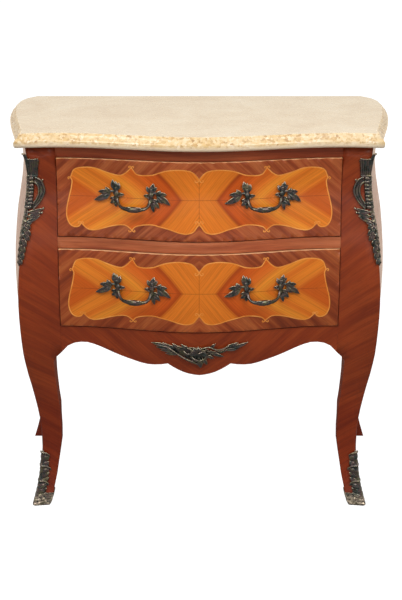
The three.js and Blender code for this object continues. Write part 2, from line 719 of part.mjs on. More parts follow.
// The casting, flat, with a blind hole behind each boss
function flatHandle() {
  const boss = pin(bossX, bossZ, bossRadius, [-bronzeSink, bossHeight]);
  const hole = pin(bossX, bossZ, screwRadius + screwClearance, [-bossHeight, screwBite + screwRadius]);
  const leaves = [upperLeafShares, outerLeafShares, lowerLeafShares].map(leafPlate);
  const pairs = [...leaves, boss].flatMap((piece) => [piece, mirrored(piece)]);
  const casting = joined([gripBar(), ...pairs]);
  return casting.subtract(toSolid(hole)).subtract(toSolid(mirrored(hole)));
}

// The casting bent to the face of a drawer and cut to it
function fittedHandle(centreX, zs) {
  const centreZ = gripHeight(zs);
  const geometry = toGeometry(handleCasting);
  const p = geometry.getAttribute("position");
  for (let i = 0; i < p.count; i++) {
    const x = p.getX(i) + centreX;
    const z = p.getZ(i) + centreZ;
    p.setXYZ(i, x, drawerFace(x, z) - bronzeSeat - p.getY(i), z);
  }
  const face = toSolid(drawerBlank(zs).translate(0, -bronzeSeat, 0));
  return toGeometry(toSolid(facingOut(geometry)).subtract(face));
}

// Drawers
function drawerFace(x, z) {
  return frontY(x, z) - drawerProud;
}

function drawerInner(x, [bottom, top]) {
  const foremost = Math.max(...steps(bottom, top, drawerFaceRows).map((z) => frontY(openingHalfWidth, z)));
  return foremost + drawerFrontThickness - bowDepth * bowShare(x);
}

function drawerBlank([bottom, top]) {
  const half = openingHalfWidth - drawerGap;
  const between = steps(bottom, top, drawerFaceRows).slice(1, -1);
  const rows = [bottom, bottom + drawerEdgeBevel, ...between, top - drawerEdgeBevel, top];
  return loft(
    steps(-half, half, bowSteps).map((x) => {
      const back = drawerInner(x, [bottom, top]);
      const setBack = (z) => (z === bottom || z === top ? drawerEdgeBevel : 0);
      const face = rows.map((z) => new THREE.Vector3(x, drawerFace(x, z) + setBack(z), z));
      return [...face, new THREE.Vector3(x, back, top), new THREE.Vector3(x, back, bottom)];
    }),
  );
}

const gripHeight = ([bottom, top]) => (bottom + top) / 2 - handleHalfWidth * handleDropShare;

// Where the four screws of a drawer's handles stand, and the flat that each head bears on
function screwSpots(zs) {
  const z = gripHeight(zs) + bossZ;
  const reach = screwHeadRadius + screwClearance;
  return [-handleSpread, handleSpread].flatMap((x) => [x - bossX, x + bossX]).map((x) => ({
    x,
    z,
    seat: Math.min(drawerInner(x - reach, zs), drawerInner(x + reach, zs)) - counterboreDepth,
    face: drawerFace(x, z) - bronzeSeat,
  }));
}

function drilledFront(zs) {
  return screwSpots(zs).reduce((front, { x, z, seat, face }) => {
    const hole = pin(x, z, screwRadius + screwClearance, [face - screwBite, seat + counterboreDepth]);
    const flat = pin(x, z, screwHeadRadius + screwClearance, [seat, seat + drawerFrontThickness]);
    return front.subtract(toSolid(hole)).subtract(toSolid(flat));
  }, toSolid(drawerBlank(zs)));
}

function screw({ x, z, seat, face }) {
  const under = seat + glueLine;
  const shank = pin(x, z, screwRadius, [face - screwBite, under + screwHeadHeight / 2]);
  const head = pin(x, z, screwHeadRadius, [under, under + screwHeadHeight]);
  return toGeometry(joined([shank, head]));
}

const handleCasting = flatHandle();

function addDrawer(name, zs) {
  const [bottom, top] = zs;
  const sideOuter = openingHalfWidth - drawerSideSetIn;
  const sideInner = sideOuter - drawerSideThickness;
  const sideBottom = bottom - drawerGap + runningGap;
  const sideTop = bottom + (top - bottom) * drawerSideHeightShare;
  const sideFront = drawerInner(sideInner, zs) + glueLine;
  const sideBack = backRailFront - drawerBackSpace;
  const floor = sideBottom + drawerBottomRise;
  const within = sideInner - glueLine;
  const side = boxGeometry([sideInner, sideOuter], [sideFront, sideBack], [sideBottom, sideTop]);
  const bottomFront = (x) => drawerInner(x, zs) + glueLine;
  const panel = bowedBoard(within, [floor, floor + drawerBottomThickness], bottomFront, sideBack);
  const backY = [sideBack - drawerBackThickness, sideBack];
  const backZ = [floor + drawerBottomThickness + glueLine, sideTop];
  const drawer = new THREE.Group();
  drawers.add(drawer);

  addPiece(drawer, `${name}_front`, toGeometry(drilledFront(zs)), materials.marquetry);
  addPair(drawer, `${name}_side`, side, materials.drawerWood);
  addBoard(drawer, `${name}_back`, [-within, within], backY, backZ, materials.drawerWood);
  addPiece(drawer, `${name}_bottom`, panel, materials.drawerWood);
  for (const [which, x] of [["left", -handleSpread], ["right", handleSpread]])
    addPiece(drawer, `${name}_handle_${which}`, fittedHandle(x, zs), materials.bronze);
  screwSpots(zs).forEach((spot, i) => {
    addPiece(drawer, `${name}_screw_${i + 1}`, screw(spot), materials.steel);
  });
}

addDrawer("upper_drawer", [middleRailTop + drawerGap, topRailBottom - drawerGap]);
addDrawer("lower_drawer", [apronTop + drawerGap, middleRailBottom - drawerGap]);

// A point off the front corner: reach is along the front face, or along the side face when negative
function offCorner(reach, z, lift) {
  const corner = cornerX(z);
  const front = frontY(corner, z);
  if (reach > 0) return new THREE.Vector3(corner - reach, frontY(corner - reach, z) - lift, z);
  if (reach < 0) return new THREE.Vector3(sideX(front - reach, z) + lift, front - reach, z);
  return new THREE.Vector3(corner + lift, front - lift, z);
}

// A bronze sheet folded round the front corner, from stations of height, two reaches and thickness
function foldedSheet(stations) {
  return loft(
    stations.map(([z, front, side, thickness]) => {
      const reaches = [-side, -side / 2, 0, front / 2, front];
      const lifts = sheetEdgeShares.map((share) => bronzeSeat + thickness * share);
      const inner = reaches.map((reach) => offCorner(reach, z, -bronzeSink));
      const outer = reaches.map((reach, i) => offCorner(reach, z, lifts[i]));
      return [...inner, ...outer.reverse()];
    }),
  );
}

const legClearance = toSolid(legLoft(frontLegSection, shoeFloor, bronzeSeat));

function cornerMount() {
  const heightAt = (fall) => mountTop - fall * mountLength;
  const sheet = foldedSheet(
    cornerMountShares.map(([fall, front, side, lift]) => [
      heightAt(fall), front * mountReach, side * mountReach, bronzeThickness * (1 + lift),
    ]),
  );
  const path = new THREE.CatmullRomCurve3(
    scrollPathShares.map(([reach, fall]) => offCorner(reach * mountReach, heightAt(fall), scrollLift)),
  );
  const scroll = bar(path, scrollStations, scrollSides, () => scrollRadius);
  return toGeometry(joined([sheet, scroll]).subtract(legClearance));
}

addPair(carcass, "corner_mount", cornerMount(), materials.bronze);

// Bronze shoe: a cup round the foot and a ribbed leaf up the outer edge
function shoe() {
  const cup = loft(
    shoeFlareShares.map(([rise, share]) => {
      const z = rise * shoeHeight;
      return raised(grownLoop(frontLegSection(z), bronzeSeat + shoeWall * share), z);
    }),
  );
  const leaf = foldedSheet(
    shoeLeafShares.map(([rise, reach, lift]) => [
      shoeHeight - shoeFloor + rise * shoeLeafHeight, reach * shoeLeafReach, reach * shoeLeafReach,
      shoeWall * (shoeLeafThinShare + lift * shoeLeafRise),
    ]),
  );
  return toGeometry(joined([cup, leaf]).subtract(legClearance));
}

addPair(carcass, "front_shoe", shoe(), materials.bronze);

// Bronze spray, laid on the bowed apron
const apronSpray = loft(
  sprayShares.map(([across, low, high, lift]) => {
    const x = across * sprayHalfWidth;
    const heights = [low, (low + high) / 2, high].map((share) => sprayBase + share * sprayHeight);
    const thickness = sprayEdgeShares.map((share) => share * lift * bronzeThickness);
    const behind = heights.map((z) => new THREE.Vector3(x, frontY(x, z) + bronzeSink, z));
    const before = heights.map((z, i) => new THREE.Vector3(x, frontY(x, z) - bronzeSeat - thickness[i], z));
    return [...behind, ...before.reverse()];
  }),
);
const apronFace = toSolid(apron.clone().translate(0, -bronzeSeat, 0));
addPiece(carcass, "apron_mount", toGeometry(toSolid(apronSpray).subtract(apronFace)), materials.bronze);

// The origin is on the floor, midway between the foremost and rearmost points
const extent = new THREE.Box3().setFromObject(group);
group.position.y = -(extent.min.y + extent.max.y) / 2;

export default group;
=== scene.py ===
import math

import bmesh
import bpy
from mathutils import Matrix, Vector


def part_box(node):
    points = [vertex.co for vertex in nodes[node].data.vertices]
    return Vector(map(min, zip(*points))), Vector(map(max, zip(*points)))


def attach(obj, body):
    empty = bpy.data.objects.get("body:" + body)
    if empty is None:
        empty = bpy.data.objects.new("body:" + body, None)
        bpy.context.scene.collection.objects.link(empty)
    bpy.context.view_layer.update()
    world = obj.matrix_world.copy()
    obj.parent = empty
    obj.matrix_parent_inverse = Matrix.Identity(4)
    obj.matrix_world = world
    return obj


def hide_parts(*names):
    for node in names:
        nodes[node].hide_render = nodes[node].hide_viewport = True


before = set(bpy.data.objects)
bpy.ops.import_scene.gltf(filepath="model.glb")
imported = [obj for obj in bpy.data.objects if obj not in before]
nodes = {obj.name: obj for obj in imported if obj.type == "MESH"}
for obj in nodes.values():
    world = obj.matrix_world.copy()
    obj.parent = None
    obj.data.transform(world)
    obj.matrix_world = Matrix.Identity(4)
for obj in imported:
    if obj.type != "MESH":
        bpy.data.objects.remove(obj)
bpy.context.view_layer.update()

# Shapes are worked out in millimetres and made metres when a piece is finished
METRES = 0.001
CUT_TOLERANCE = 1e-5
WELD_DISTANCE = 5e-6
SIDES = (("left", -1), ("right", 1))
DRAWERS = ("upper_drawer", "lower_drawer")
scene = bpy.context.scene

# The case's surface, as the solids have it
CARCASS_HEIGHT = 842.7
CARCASS_DEPTH = 388
CORNER_HALF_WIDTH = 363
CORNER_SWELL = 30.5
FRONT_SWELL = 32
BOW_DEPTH = 42
BOW_HALF_WAVE = 300
SIDE_FLARE = 45
FLARE_POWER = 1.25
REAR_ROUND_WIDTH = 38
REAR_ROUND_DEPTH = 78
CORNER_ROUNDING = 4
DRAWER_PROUD = 3
SWELL = [
    (0, 0.6), (0.055, 0.2), (0.1, 0), (0.153, -0.12), (0.243, -0.03), (0.34, 0.35), (0.4, 0.65),
    (0.474, 0.9), (0.617, 1), (0.76, 0.64), (0.85, 0.18), (0.912, 0), (1, 0.16),
]
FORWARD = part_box("back_panel")[1][1] / METRES - CARCASS_DEPTH


def curve_through(points, at):
    last = len(points) - 1
    i = 0
    while i < last - 1 and at > points[i + 1][0]:
        i += 1

    def slope(a, b):
        return (points[b][1] - points[a][1]) / (points[b][0] - points[a][0])

    def tangent(k):
        return slope(max(k - 1, 0), min(k + 1, last))

    span = points[i + 1][0] - points[i][0]
    t = min(1, max(0, (at - points[i][0]) / span))
    t2, t3 = t * t, t * t * t
    return (
        points[i][1] * (2 * t3 - 3 * t2 + 1) + points[i + 1][1] * (3 * t2 - 2 * t3)
        + tangent(i) * span * (t3 - 2 * t2 + t) + tangent(i + 1) * span * (t3 - t2)
    )


def swell(z):
    return curve_through(SWELL, z / CARCASS_HEIGHT)


def corner_x(z):
    return CORNER_HALF_WIDTH + CORNER_SWELL * swell(z)


def front_y(x, z):
    bow = 0.5 + 0.5 * math.cos(math.pi * x / BOW_HALF_WAVE)
    return FORWARD - FRONT_SWELL * swell(z) - BOW_DEPTH * bow


def side_x(y, z):
    turn_start = CARCASS_DEPTH - REAR_ROUND_DEPTH
    back = y - FORWARD
    along = min(1, max(0, back / turn_start))
    turn = min(1, max(0, (back - turn_start) / REAR_ROUND_DEPTH))
    flare = SIDE_FLARE * math.sin(math.pi / 2 * along) ** FLARE_POWER
    return corner_x(z) + flare - REAR_ROUND_WIDTH * (1 - math.sqrt(1 - turn * turn))


# Places for flat shapes: across, up and lift in millimetres become points on the case
def on_drawer(centre_x, centre_z):
    def place(u, v, lift):
        x, z = centre_x + u, centre_z + v
        return x, front_y(x, z) - DRAWER_PROUD - lift, z

    return place


def on_front(u, v, lift):
    return u, front_y(u, v) - lift, v


def on_corner(side):
    """Reach is along the front from the corner, or round the side when negative."""
    def place(reach, z, lift):
        corner = corner_x(z)
        front = front_y(corner, z)
        x = corner - reach if reach > 0 else side_x(front - reach, z)
        y = front_y(x, z) if reach > 0 else front - reach
        turn = math.pi / 2 * min(1, max(0, (reach + CORNER_ROUNDING) / (2 * CORNER_ROUNDING)))
        return side * (x + lift * math.cos(turn)), y - lift * math.sin(turn), z

    return place


# Mesh helpers
def in_scene(name, data):
    made = bpy.data.objects.new(name, data)
    scene.collection.objects.link(made)
    return made


def finished(name, mesh, material, body, smooth=True):
    piece = in_scene(name, mesh)
    if smooth:
        mesh.shade_smooth()
    mesh.materials.clear()
    mesh.materials.append(material)
    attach(piece, body)
    return piece


def opened(mesh):
    bm = bmesh.new()
    bm.from_mesh(mesh)
    return bm


def mesh_from(bm, name):
    mesh = bpy.data.meshes.new(name)
    bm.to_mesh(mesh)
    bm.free()
    return mesh


def placed(mesh, place):
    for vertex in mesh.vertices:
        vertex.co = Vector(place(*vertex.co)) * METRES
    mesh.update()
    return mesh


def smooth_path(points, steps):
    """Points along a smooth open curve through the given ones."""
    padded = [points[0], *points, points[-1]]
    path = []
    for i in range(len(points) - 1):
        a, b, c, d = padded[i:i + 4]
        for k in range(steps):
            t = k / steps
            path.append(tuple(
                0.5 * (2 * q + (r - p) * t + (2 * p - 5 * q + 4 * r - s) * t * t
                       + (3 * q - p - 3 * r + s) * t ** 3)
                for p, q, r, s in zip(a, b, c, d)
            ))
    path.append(tuple(points[-1]))
    return path


THINNEST = 0.15
STEEPEST = 0.15
GROOVE_EDGE = 0.6


def sweep(bm, stations, sides=10, steps=3, groove=0.0):
    """A closed stem or leaf. Each station is across, up, lift, half width and half thickness."""
    path = smooth_path(stations, steps)
    rings = []
    across = Vector((1, 0, 0))
    for i, (u, v, lift, wide, deep) in enumerate(path):
        before, after = path[max(i - 1, 0)], path[min(i + 1, len(path) - 1)]
        along = Vector(after[:3]) - Vector(before[:3])
        along.normalize()
        flat = Vector((-along.y, along.x, 0))
        if flat.length > STEEPEST:
            across = flat.normalized()
        up = along.cross(across).normalized()
        if up.z < 0:
            up = -up
        wide, deep = max(wide, THINNEST), max(deep, THINNEST)
        at = Vector((u, v, lift))
        seat = Matrix((across * wide, up * deep, along)).transposed().to_4x4()
        seat.translation = at
        end = i in (0, len(path) - 1)
        ring = bmesh.ops.create_circle(bm, cap_ends=end, segments=sides, radius=1, matrix=seat)["verts"]
        if groove and not end:
            for vertex in ring:
                share_across = (vertex.co - at).dot(across) / wide
                share_up = (vertex.co - at).dot(up) / deep
                if share_up > 0:
                    hollow = max(0, 1 - abs(share_across)) ** GROOVE_EDGE
                    vertex.co -= up * deep * groove * share_up * hollow
        rings.append(ring)
    for first, second in zip(rings, rings[1:]):
        edges = {edge for vertex in (*first, *second) for edge in vertex.link_edges}
        loops = [edge for edge in edges
                 if any(all(v in ring for v in edge.verts) for ring in (first, second))]
        bmesh.ops.bridge_loops(bm, edges=loops)


def leaf(bm, base, tip, width, bend=0.0, lift=(1.5, 3.0, 1.6), thick=2.0, groove=0.75):
    """A pointed lobe, bent sideways, raised in its middle and turned at its tip."""
    run = Vector(tip) - Vector(base)
    side = Vector((-run.y, run.x)).normalized() * bend
    shares = [(0, 0.3, 0.9), (0.22, 0.8, 1), (0.5, 1, 1), (0.76, 0.72, 0.8), (1, 0.12, 0.35)]
    stations = []
    for share, wide, deep in shares:
        at = Vector(base) + run * share + side * math.sin(math.pi * share)
        height = curve_through([(0, lift[0]), (0.6, lift[1]), (1, lift[2])], share)
        stations.append((at.x, at.y, height, width / 2 * wide, thick * deep))
    sweep(bm, stations, sides=12, steps=3, groove=groove)


def sided(way, stations):
    """The same stations, narrower or on the other side."""
    return [(u * way, *rest) for u, *rest in stations]


def leaves(bm, rows, lift, thick=2.8, way=1):
    """Grooved leaves, each with a base, a tip, a width and a bend."""
    for base, tip, width, bend in rows:
        (base, tip), bend = sided(way, (base, tip)), bend * math.copysign(1, way)
        leaf(bm, base, tip, width, bend, lift, thick, 0.9)


def only_verts(parts):
    return [part for part in parts if isinstance(part, bmesh.types.BMVert)]


def add_mirrored(bm):
    copy = bmesh.ops.duplicate(bm, geom=bm.verts[:] + bm.edges[:] + bm.faces[:])["geom"]
    bmesh.ops.scale(bm, vec=(-1, 1, 1), verts=only_verts(copy))
    bmesh.ops.recalc_face_normals(bm, faces=bm.faces[:])


def cut(bm, point, normal):
    whole = bm.verts[:] + bm.edges[:] + bm.faces[:]
    bmesh.ops.bisect_plane(bm, geom=whole, dist=CUT_TOLERANCE, plane_co=point, plane_no=normal)


def cast(bm, voxel, softening):
    """Joins overlapping closed shells into one casting and softens it."""
    bmesh.ops.recalc_face_normals(bm, faces=bm.faces[:])
    pattern = in_scene("casting", mesh_from(bm, "casting"))
    remesh = pattern.modifiers.new("cast", "REMESH")
    remesh.mode = "VOXEL"
    remesh.voxel_size = voxel
    soften = pattern.modifiers.new("soften", "SMOOTH")
    soften.factor = 0.5
    soften.iterations = softening
    depsgraph = bpy.context.evaluated_depsgraph_get()
    result = bpy.data.meshes.new_from_object(pattern.evaluated_get(depsgraph))
    bpy.data.objects.remove(pattern)
    return result


def cut_to_cells(outline, cell):
    """A flat face with the given outline, cut into small cells."""
    bm = bmesh.new()
    bm.faces.new([bm.verts.new((u, v, 0)) for u, v in outline])
    for axis, along in enumerate((Vector((1, 0, 0)), Vector((0, 1, 0)))):
        low = min(point[axis] for point in outline)
        high = max(point[axis] for point in outline)
        at = low + cell
        while at < high - cell * 0.3:
            cut(bm, along * at, along)
            at += cell
    return bm


def strip(bm, points, half_width, lift):
    """A ribbon along flat points, made by carrying an edge along them."""
    edge = None
    for i, (u, v) in enumerate(points):
        before, after = points[max(i - 1, 0)], points[min(i + 1, len(points) - 1)]
        along = Vector((after[0] - before[0], after[1] - before[1])).normalized()
        width = half_width(i / (len(points) - 1)) if callable(half_width) else half_width
        out = Vector((-along.y, along.x)) * width
        ends = [Vector((u + out.x, v + out.y, lift)), Vector((u - out.x, v - out.y, lift))]
        if edge is None:
            edge = bm.edges.new([bm.verts.new(end) for end in ends])
            order = list(edge.verts)
        else:
            made = bmesh.ops.extrude_edge_only(bm, edges=[edge])["geom"]
            new_edge = next(part for part in made if isinstance(part, bmesh.types.BMEdge))
            new_verts = list(new_edge.verts)
            linked = {other for e in new_verts[0].link_edges for other in e.verts}
            if order[0] not in linked:
                new_verts.reverse()
            new_verts[0].co, new_verts[1].co = ends
            edge, order = new_edge, new_verts


# Shader helpers
def plug(tree, socket, value):
    """Links another node's output to a socket, or sets a plain value on it."""
    if isinstance(value, bpy.types.NodeSocket):
        tree.links.new(value, socket)
    else:
        socket.default_value = value


def node(tree, kind, inputs=None, **settings):
    made = tree.nodes.new(kind)
    for key, value in settings.items():
        setattr(made, key, value)
    for key, value in (inputs or {}).items():
        plug(tree, made.inputs[key], value)
    return made


def maths(tree, operation, a, b=0.0, c=0.0):
    return node(tree, "ShaderNodeMath", {0: a, 1: b, 2: c}, operation=operation).outputs[0]


def times(tree, a, b):
    return maths(tree, "MULTIPLY", a, b)


def times_plus(tree, a, b, c):
    return maths(tree, "MULTIPLY_ADD", a, b, c)


def colour_mix(tree, factor, a, b, blend="MIX"):
    inputs = {0: factor, 6: a, 7: b}
    return node(tree, "ShaderNodeMix", inputs, data_type="RGBA", blend_type=blend).outputs[2]


def between(tree, value, low, high, to_low=0.0, to_high=1.0, kind="SMOOTHSTEP"):
    """From to_low to to_high while the value goes from low to high."""
    inputs = {0: value, 1: low, 2: high, 3: to_low, 4: to_high}
    return node(tree, "ShaderNodeMapRange", inputs, interpolation_type=kind).outputs[0]


def noise(tree, place, scale, detail, roughness=0.5, distortion=0.0, seed=None):
    """Noise at a place, with a pattern of its own for each seed."""
    inputs = {"Vector": place, "Scale": scale, "Detail": detail, "Roughness": roughness,
              "Distortion": distortion}
    size = "3D"
    if seed is not None:
        size, inputs["W"] = "4D", seed
    return node(tree, "ShaderNodeTexNoise", inputs, noise_dimensions=size).outputs["Fac"]


def split(tree, vector):
    return node(tree, "ShaderNodeSeparateXYZ", {0: vector}).outputs


def face_normal(tree):
    """The direction that a face looks in."""
    return split(tree, node(tree, "ShaderNodeNewGeometry").outputs["Normal"])


def paint(red, green, blue):
    """A colour as seen on screen, made linear."""
    return tuple(((c / 255) / 12.92 if c / 255 <= 0.04045 else ((c / 255 + 0.055) / 1.055) ** 2.4)
                 for c in (red, green, blue)) + (1,)


def grey(value):
    return (value, value, value, 1)


def ramp(tree, factor, stops):
    made = node(tree, "ShaderNodeValToRGB", {0: factor})
    band = made.color_ramp
    while len(band.elements) < len(stops):
        band.elements.new(1)
    for element, (place, colour) in zip(band.elements, stops):
        element.position, element.color = place, colour
    return made.outputs[0]


def painted(tree, factor, *stops):
    """A ramp of stops, each a place and the red, green and blue seen on screen."""
    return ramp(tree, factor, [(place, paint(*colour)) for place, *colour in stops])


def toned(tree, factor, *stops):
    """A ramp of greys, each a place and a strength."""
    return ramp(tree, factor, [(place, grey(value)) for place, value in stops])


def new_group(name, inputs, outputs):
    group = bpy.data.node_groups.new(name, "ShaderNodeTree")
    for socket, kind, default in inputs:
        made = group.interface.new_socket(socket, in_out="INPUT", socket_type=kind)
        if default is not None:
            made.default_value = default
    for socket, kind in outputs:
        group.interface.new_socket(socket, in_out="OUTPUT", socket_type=kind)
    return group, group.nodes.new("NodeGroupInput").outputs, group.nodes.new("NodeGroupOutput").inputs


FLOAT, VECTOR = "NodeSocketFloat", "NodeSocketVector"


def wood_figure_group():
    """Broad bands, fine streaks and short pores, across and along the grain in metres."""
    tree, inside, out = new_group(
        "wood figure",
        [("Across", FLOAT, 0.0), ("Along", FLOAT, 0.0), ("Depth", FLOAT, 0.0),
         ("Band Width", FLOAT, 0.02), ("Seed", FLOAT, 0.0)],
        [("Bands", FLOAT), ("Streaks", FLOAT), ("Pores", FLOAT)],
    )
    density = maths(tree, "DIVIDE", 1.0, inside["Band Width"])

    def stretched(across_scale, along_scale, detail, roughness, wander=0.0):
        across, along, deep = (
            times(tree, times(tree, inside[name], density), scale)
            for name, scale in (("Across", across_scale), ("Along", along_scale),
                                ("Depth", along_scale)))
        if wander:
            place = node(tree, "ShaderNodeCombineXYZ", {0: across, 1: along, 2: deep}).outputs[0]
            drift = noise(tree, place, 0.7, 1.0, seed=inside["Seed"])
            across = times_plus(tree, drift, wander, across)
        place = node(tree, "ShaderNodeCombineXYZ", {0: across, 1: along, 2: deep}).outputs[0]
        return noise(tree, place, 1.0, detail, roughness, seed=inside["Seed"])

    plug(tree, out["Bands"], between(tree, stretched(1.0, 0.07, 3.0, 0.6, 0.6), 0.32, 0.68))
    plug(tree, out["Streaks"], between(tree, stretched(7.0, 0.25, 3.0, 0.65, 0.8), 0.3, 0.7))
    plug(tree, out["Pores"], between(tree, stretched(26.0, 1.1, 2.0, 0.6), 0.6, 0.72))
    return tree


def surface_wear_group():
    """Slow change of tone and faint smears, as a polished old surface has."""
    tree, inside, out = new_group(
        "surface wear", [("Vector", VECTOR, None), ("Seed", FLOAT, 0.0)],
        [("Tone", FLOAT), ("Smears", FLOAT)])
    slow = noise(tree, inside["Vector"], 4.5, 3.0, 0.55, seed=inside["Seed"])
    fine = noise(tree, inside["Vector"], 38.0, 4.0, 0.65, seed=inside["Seed"])
    plug(tree, out["Tone"], between(tree, slow, 0.3, 0.7))
    plug(tree, out["Smears"], between(tree, fine, 0.35, 0.7))
    return tree


wood_figure = wood_figure_group()
surface_wear = surface_wear_group()


def placed_group(tree, group, **inputs):
    inputs = {key.replace("_", " ").title(): value for key, value in inputs.items()}
    return node(tree, "ShaderNodeGroup", inputs, node_tree=group).outputs


def worn_surface(tree, place, seed):
    return placed_group(tree, surface_wear, vector=place, seed=seed)


def blank_material(name, colour):
    material = bpy.data.materials.new(name)
    material.use_nodes = True
    material.diffuse_color = colour
    tree = material.node_tree
    shader = tree.nodes["Principled BSDF"]
    place = node(tree, "ShaderNodeTexCoord").outputs["Object"]
    return material, tree, shader, place, split(tree, place)


def set_shader(tree, shader, **inputs):
    for key, value in inputs.items():
        plug(tree, shader.inputs[key.replace("_", " ").title().replace("Ior", "IOR")], value)


def bump(tree, height, distance, strength=1.0):
    inputs = {"Strength": strength, "Distance": distance, "Height": height}
    return node(tree, "ShaderNodeBump", inputs).outputs[0]


def facing_in(tree, axes):
    """Where a face looks to the inside or the back, and is left without polish."""
    normal = face_normal(tree)
    outward = times(tree, maths(tree, "SIGN", axes["X"]), normal["X"])
    inward = between(tree, outward, -0.75, -0.45, 1.0, 0.0)
    return maths(tree, "MAXIMUM", inward, between(tree, normal["Y"], 0.5, 0.8))


def polished_wood(name, across_of, colours, band_width, seed, roughness=0.3, coat=0.13, pores=0.5,
                  extra=None, inner_faces=False):
    """A clear-finished wood. across_of gives the coordinates across and along its grain."""
    dark, middle, light, pore = colours
    material, tree, shader, place, axes = blank_material(name, middle)
    across, along, depth = across_of(tree, axes)
    figure = placed_group(
        tree, wood_figure, across=across, along=along, depth=depth, band_width=band_width, seed=seed)
    wear = worn_surface(tree, place, seed)
    colour = ramp(tree, figure["Bands"], [(0, dark), (0.45, middle), (1, light)])
    streak = toned(tree, figure["Streaks"], (0, 0.76), (0.5, 0.97), (1, 1.15))
    colour = colour_mix(tree, 0.75, colour, streak, "MULTIPLY")
    colour = colour_mix(tree, times(tree, figure["Pores"], pores), colour, pore)
    tone = toned(tree, wear["Tone"], (0, 0.86), (1, 1.12))
    colour = colour_mix(tree, 1.0, colour, tone, "MULTIPLY")
    if extra:
        colour = extra(tree, axes, colour)
    if inner_faces:
        hidden = facing_in(tree, axes)
        coat = times_plus(tree, hidden, -coat, coat)
        roughness = times_plus(tree, hidden, 0.4, roughness)
        colour = colour_mix(tree, times(tree, hidden, 0.7), colour, dark)
    rough = times_plus(tree, wear["Smears"], 0.12, roughness)
    rough = times_plus(tree, figure["Pores"], 0.15, rough)
    height = times_plus(tree, figure["Pores"], -1.0, times(tree, figure["Streaks"], 0.3))
    set_shader(tree, shader, base_color=colour, roughness=rough,
               normal=bump(tree, height, 0.00012, 0.5), coat_weight=coat, coat_roughness=0.14,
               ior=1.5, specular_ior_level=0.2)
    return material


# Directions of the grain
def slanting_grain(angle, seam_height=0.0):
    """Grain that rises outwards at an angle, mirrored left and right."""
    def across_of(tree, axes):
        out = maths(tree, "ADD", maths(tree, "ABSOLUTE", axes["X"]), axes["Y"])
        up = maths(tree, "SUBTRACT", axes["Z"], seam_height)
        sine, cosine = math.sin(angle), math.cos(angle)
        across = times_plus(tree, up, -cosine, times(tree, out, sine))
        along = times_plus(tree, up, sine, times(tree, out, cosine))
        return across, along, times(tree, axes["X"], 0.3)

    return across_of


def straight_grain(across, along, depth):
    return lambda tree, axes: (axes[across], axes[along], axes[depth])


def palette(*colours):
    """A wood's dark, middle, light and pore colours, as seen on screen."""
    return [paint(*colour) for colour in colours]


KINGWOOD = palette((123, 44, 14), (134, 51, 16), (146, 60, 21), (78, 28, 11))
# the middle rail's kingwood is painted paler: a painted sheen where its swell faces up to the light
RAIL_KINGWOOD_PAINTED_SHEEN = palette((146, 68, 38), (170, 88, 50), (190, 108, 68), (100, 42, 22))
TOP_KINGWOOD = palette((128, 52, 24), (144, 64, 32), (160, 78, 42), (84, 32, 15))
# the two drawer borders are one kingwood painted twice: lighter on the upper drawer as painted light
# from above, darker on the lower as painted shade
UPPER_BORDER_PAINTED_LIT = palette((128, 54, 25), (154, 71, 34), (180, 97, 52), (84, 34, 15))
LOWER_BORDER_PAINTED_SHADED = palette((122, 49, 20), (147, 65, 28), (171, 89, 43), (80, 31, 13))
PINE = palette((168, 122, 74), (190, 146, 94), (206, 166, 114), (120, 82, 46))
OAK = palette((150, 108, 66), (176, 132, 84), (196, 154, 104), (98, 66, 38))
UPPER_SEAM, LOWER_SEAM = 736.4, 537.1


def bare_back_and_painted_edge_highlight(tree, axes, colour):
    """Bare wood behind, and a painted highlight: a pale line on the top edge's bevel, where it faces
    up.
    """
    facing = face_normal(tree)
    colour = colour_mix(tree, between(tree, facing["Y"], 0.5, 0.7), colour, OAK[1])
    # painted highlight: the upward-facing bevel along each front's top edge is painted pale
    painted_edge_highlight = times(tree, between(tree, facing["Z"], 0.45, 0.65),
                 between(tree, facing["Z"], 0.8, 0.95, 0.75, 0.3))
    to_top = [maths(tree, "ABSOLUTE", maths(tree, "SUBTRACT", axes["Z"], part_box(front)[1][2]))
              for front in ("upper_drawer_front", "lower_drawer_front")]
    near_top = between(tree, maths(tree, "MINIMUM", *to_top), 0.003, 0.005, 1.0, 0.0)
    return colour_mix(tree, times(tree, painted_edge_highlight, near_top), colour, paint(232, 178, 126))


def painted_shade_down_the_legs(tree, axes, colour):
    """A deeper tone below the apron: painted shade, as the light falls off down the legs."""
    # painted shade: the legs are darkened below the apron
    below = between(tree, axes["Z"], 0.3, 0.21)
    return colour_mix(tree, below, colour, (0.8, 0.64, 0.54, 1), "MULTIPLY")


rising_grain = slanting_grain(math.radians(38))
veneer = polished_wood("kingwood veneer", rising_grain, KINGWOOD, 0.022, 1.0,
                       extra=painted_shade_down_the_legs, inner_faces=True)
side_veneer = polished_wood("kingwood on the sides", rising_grain, KINGWOOD, 0.022, 1.0, coat=0.4,
                            inner_faces=True)
level_grain = straight_grain("Z", "X", "Y")
top_rail_veneer = polished_wood("kingwood on the top rail", level_grain, TOP_KINGWOOD, 0.02, 5.0)
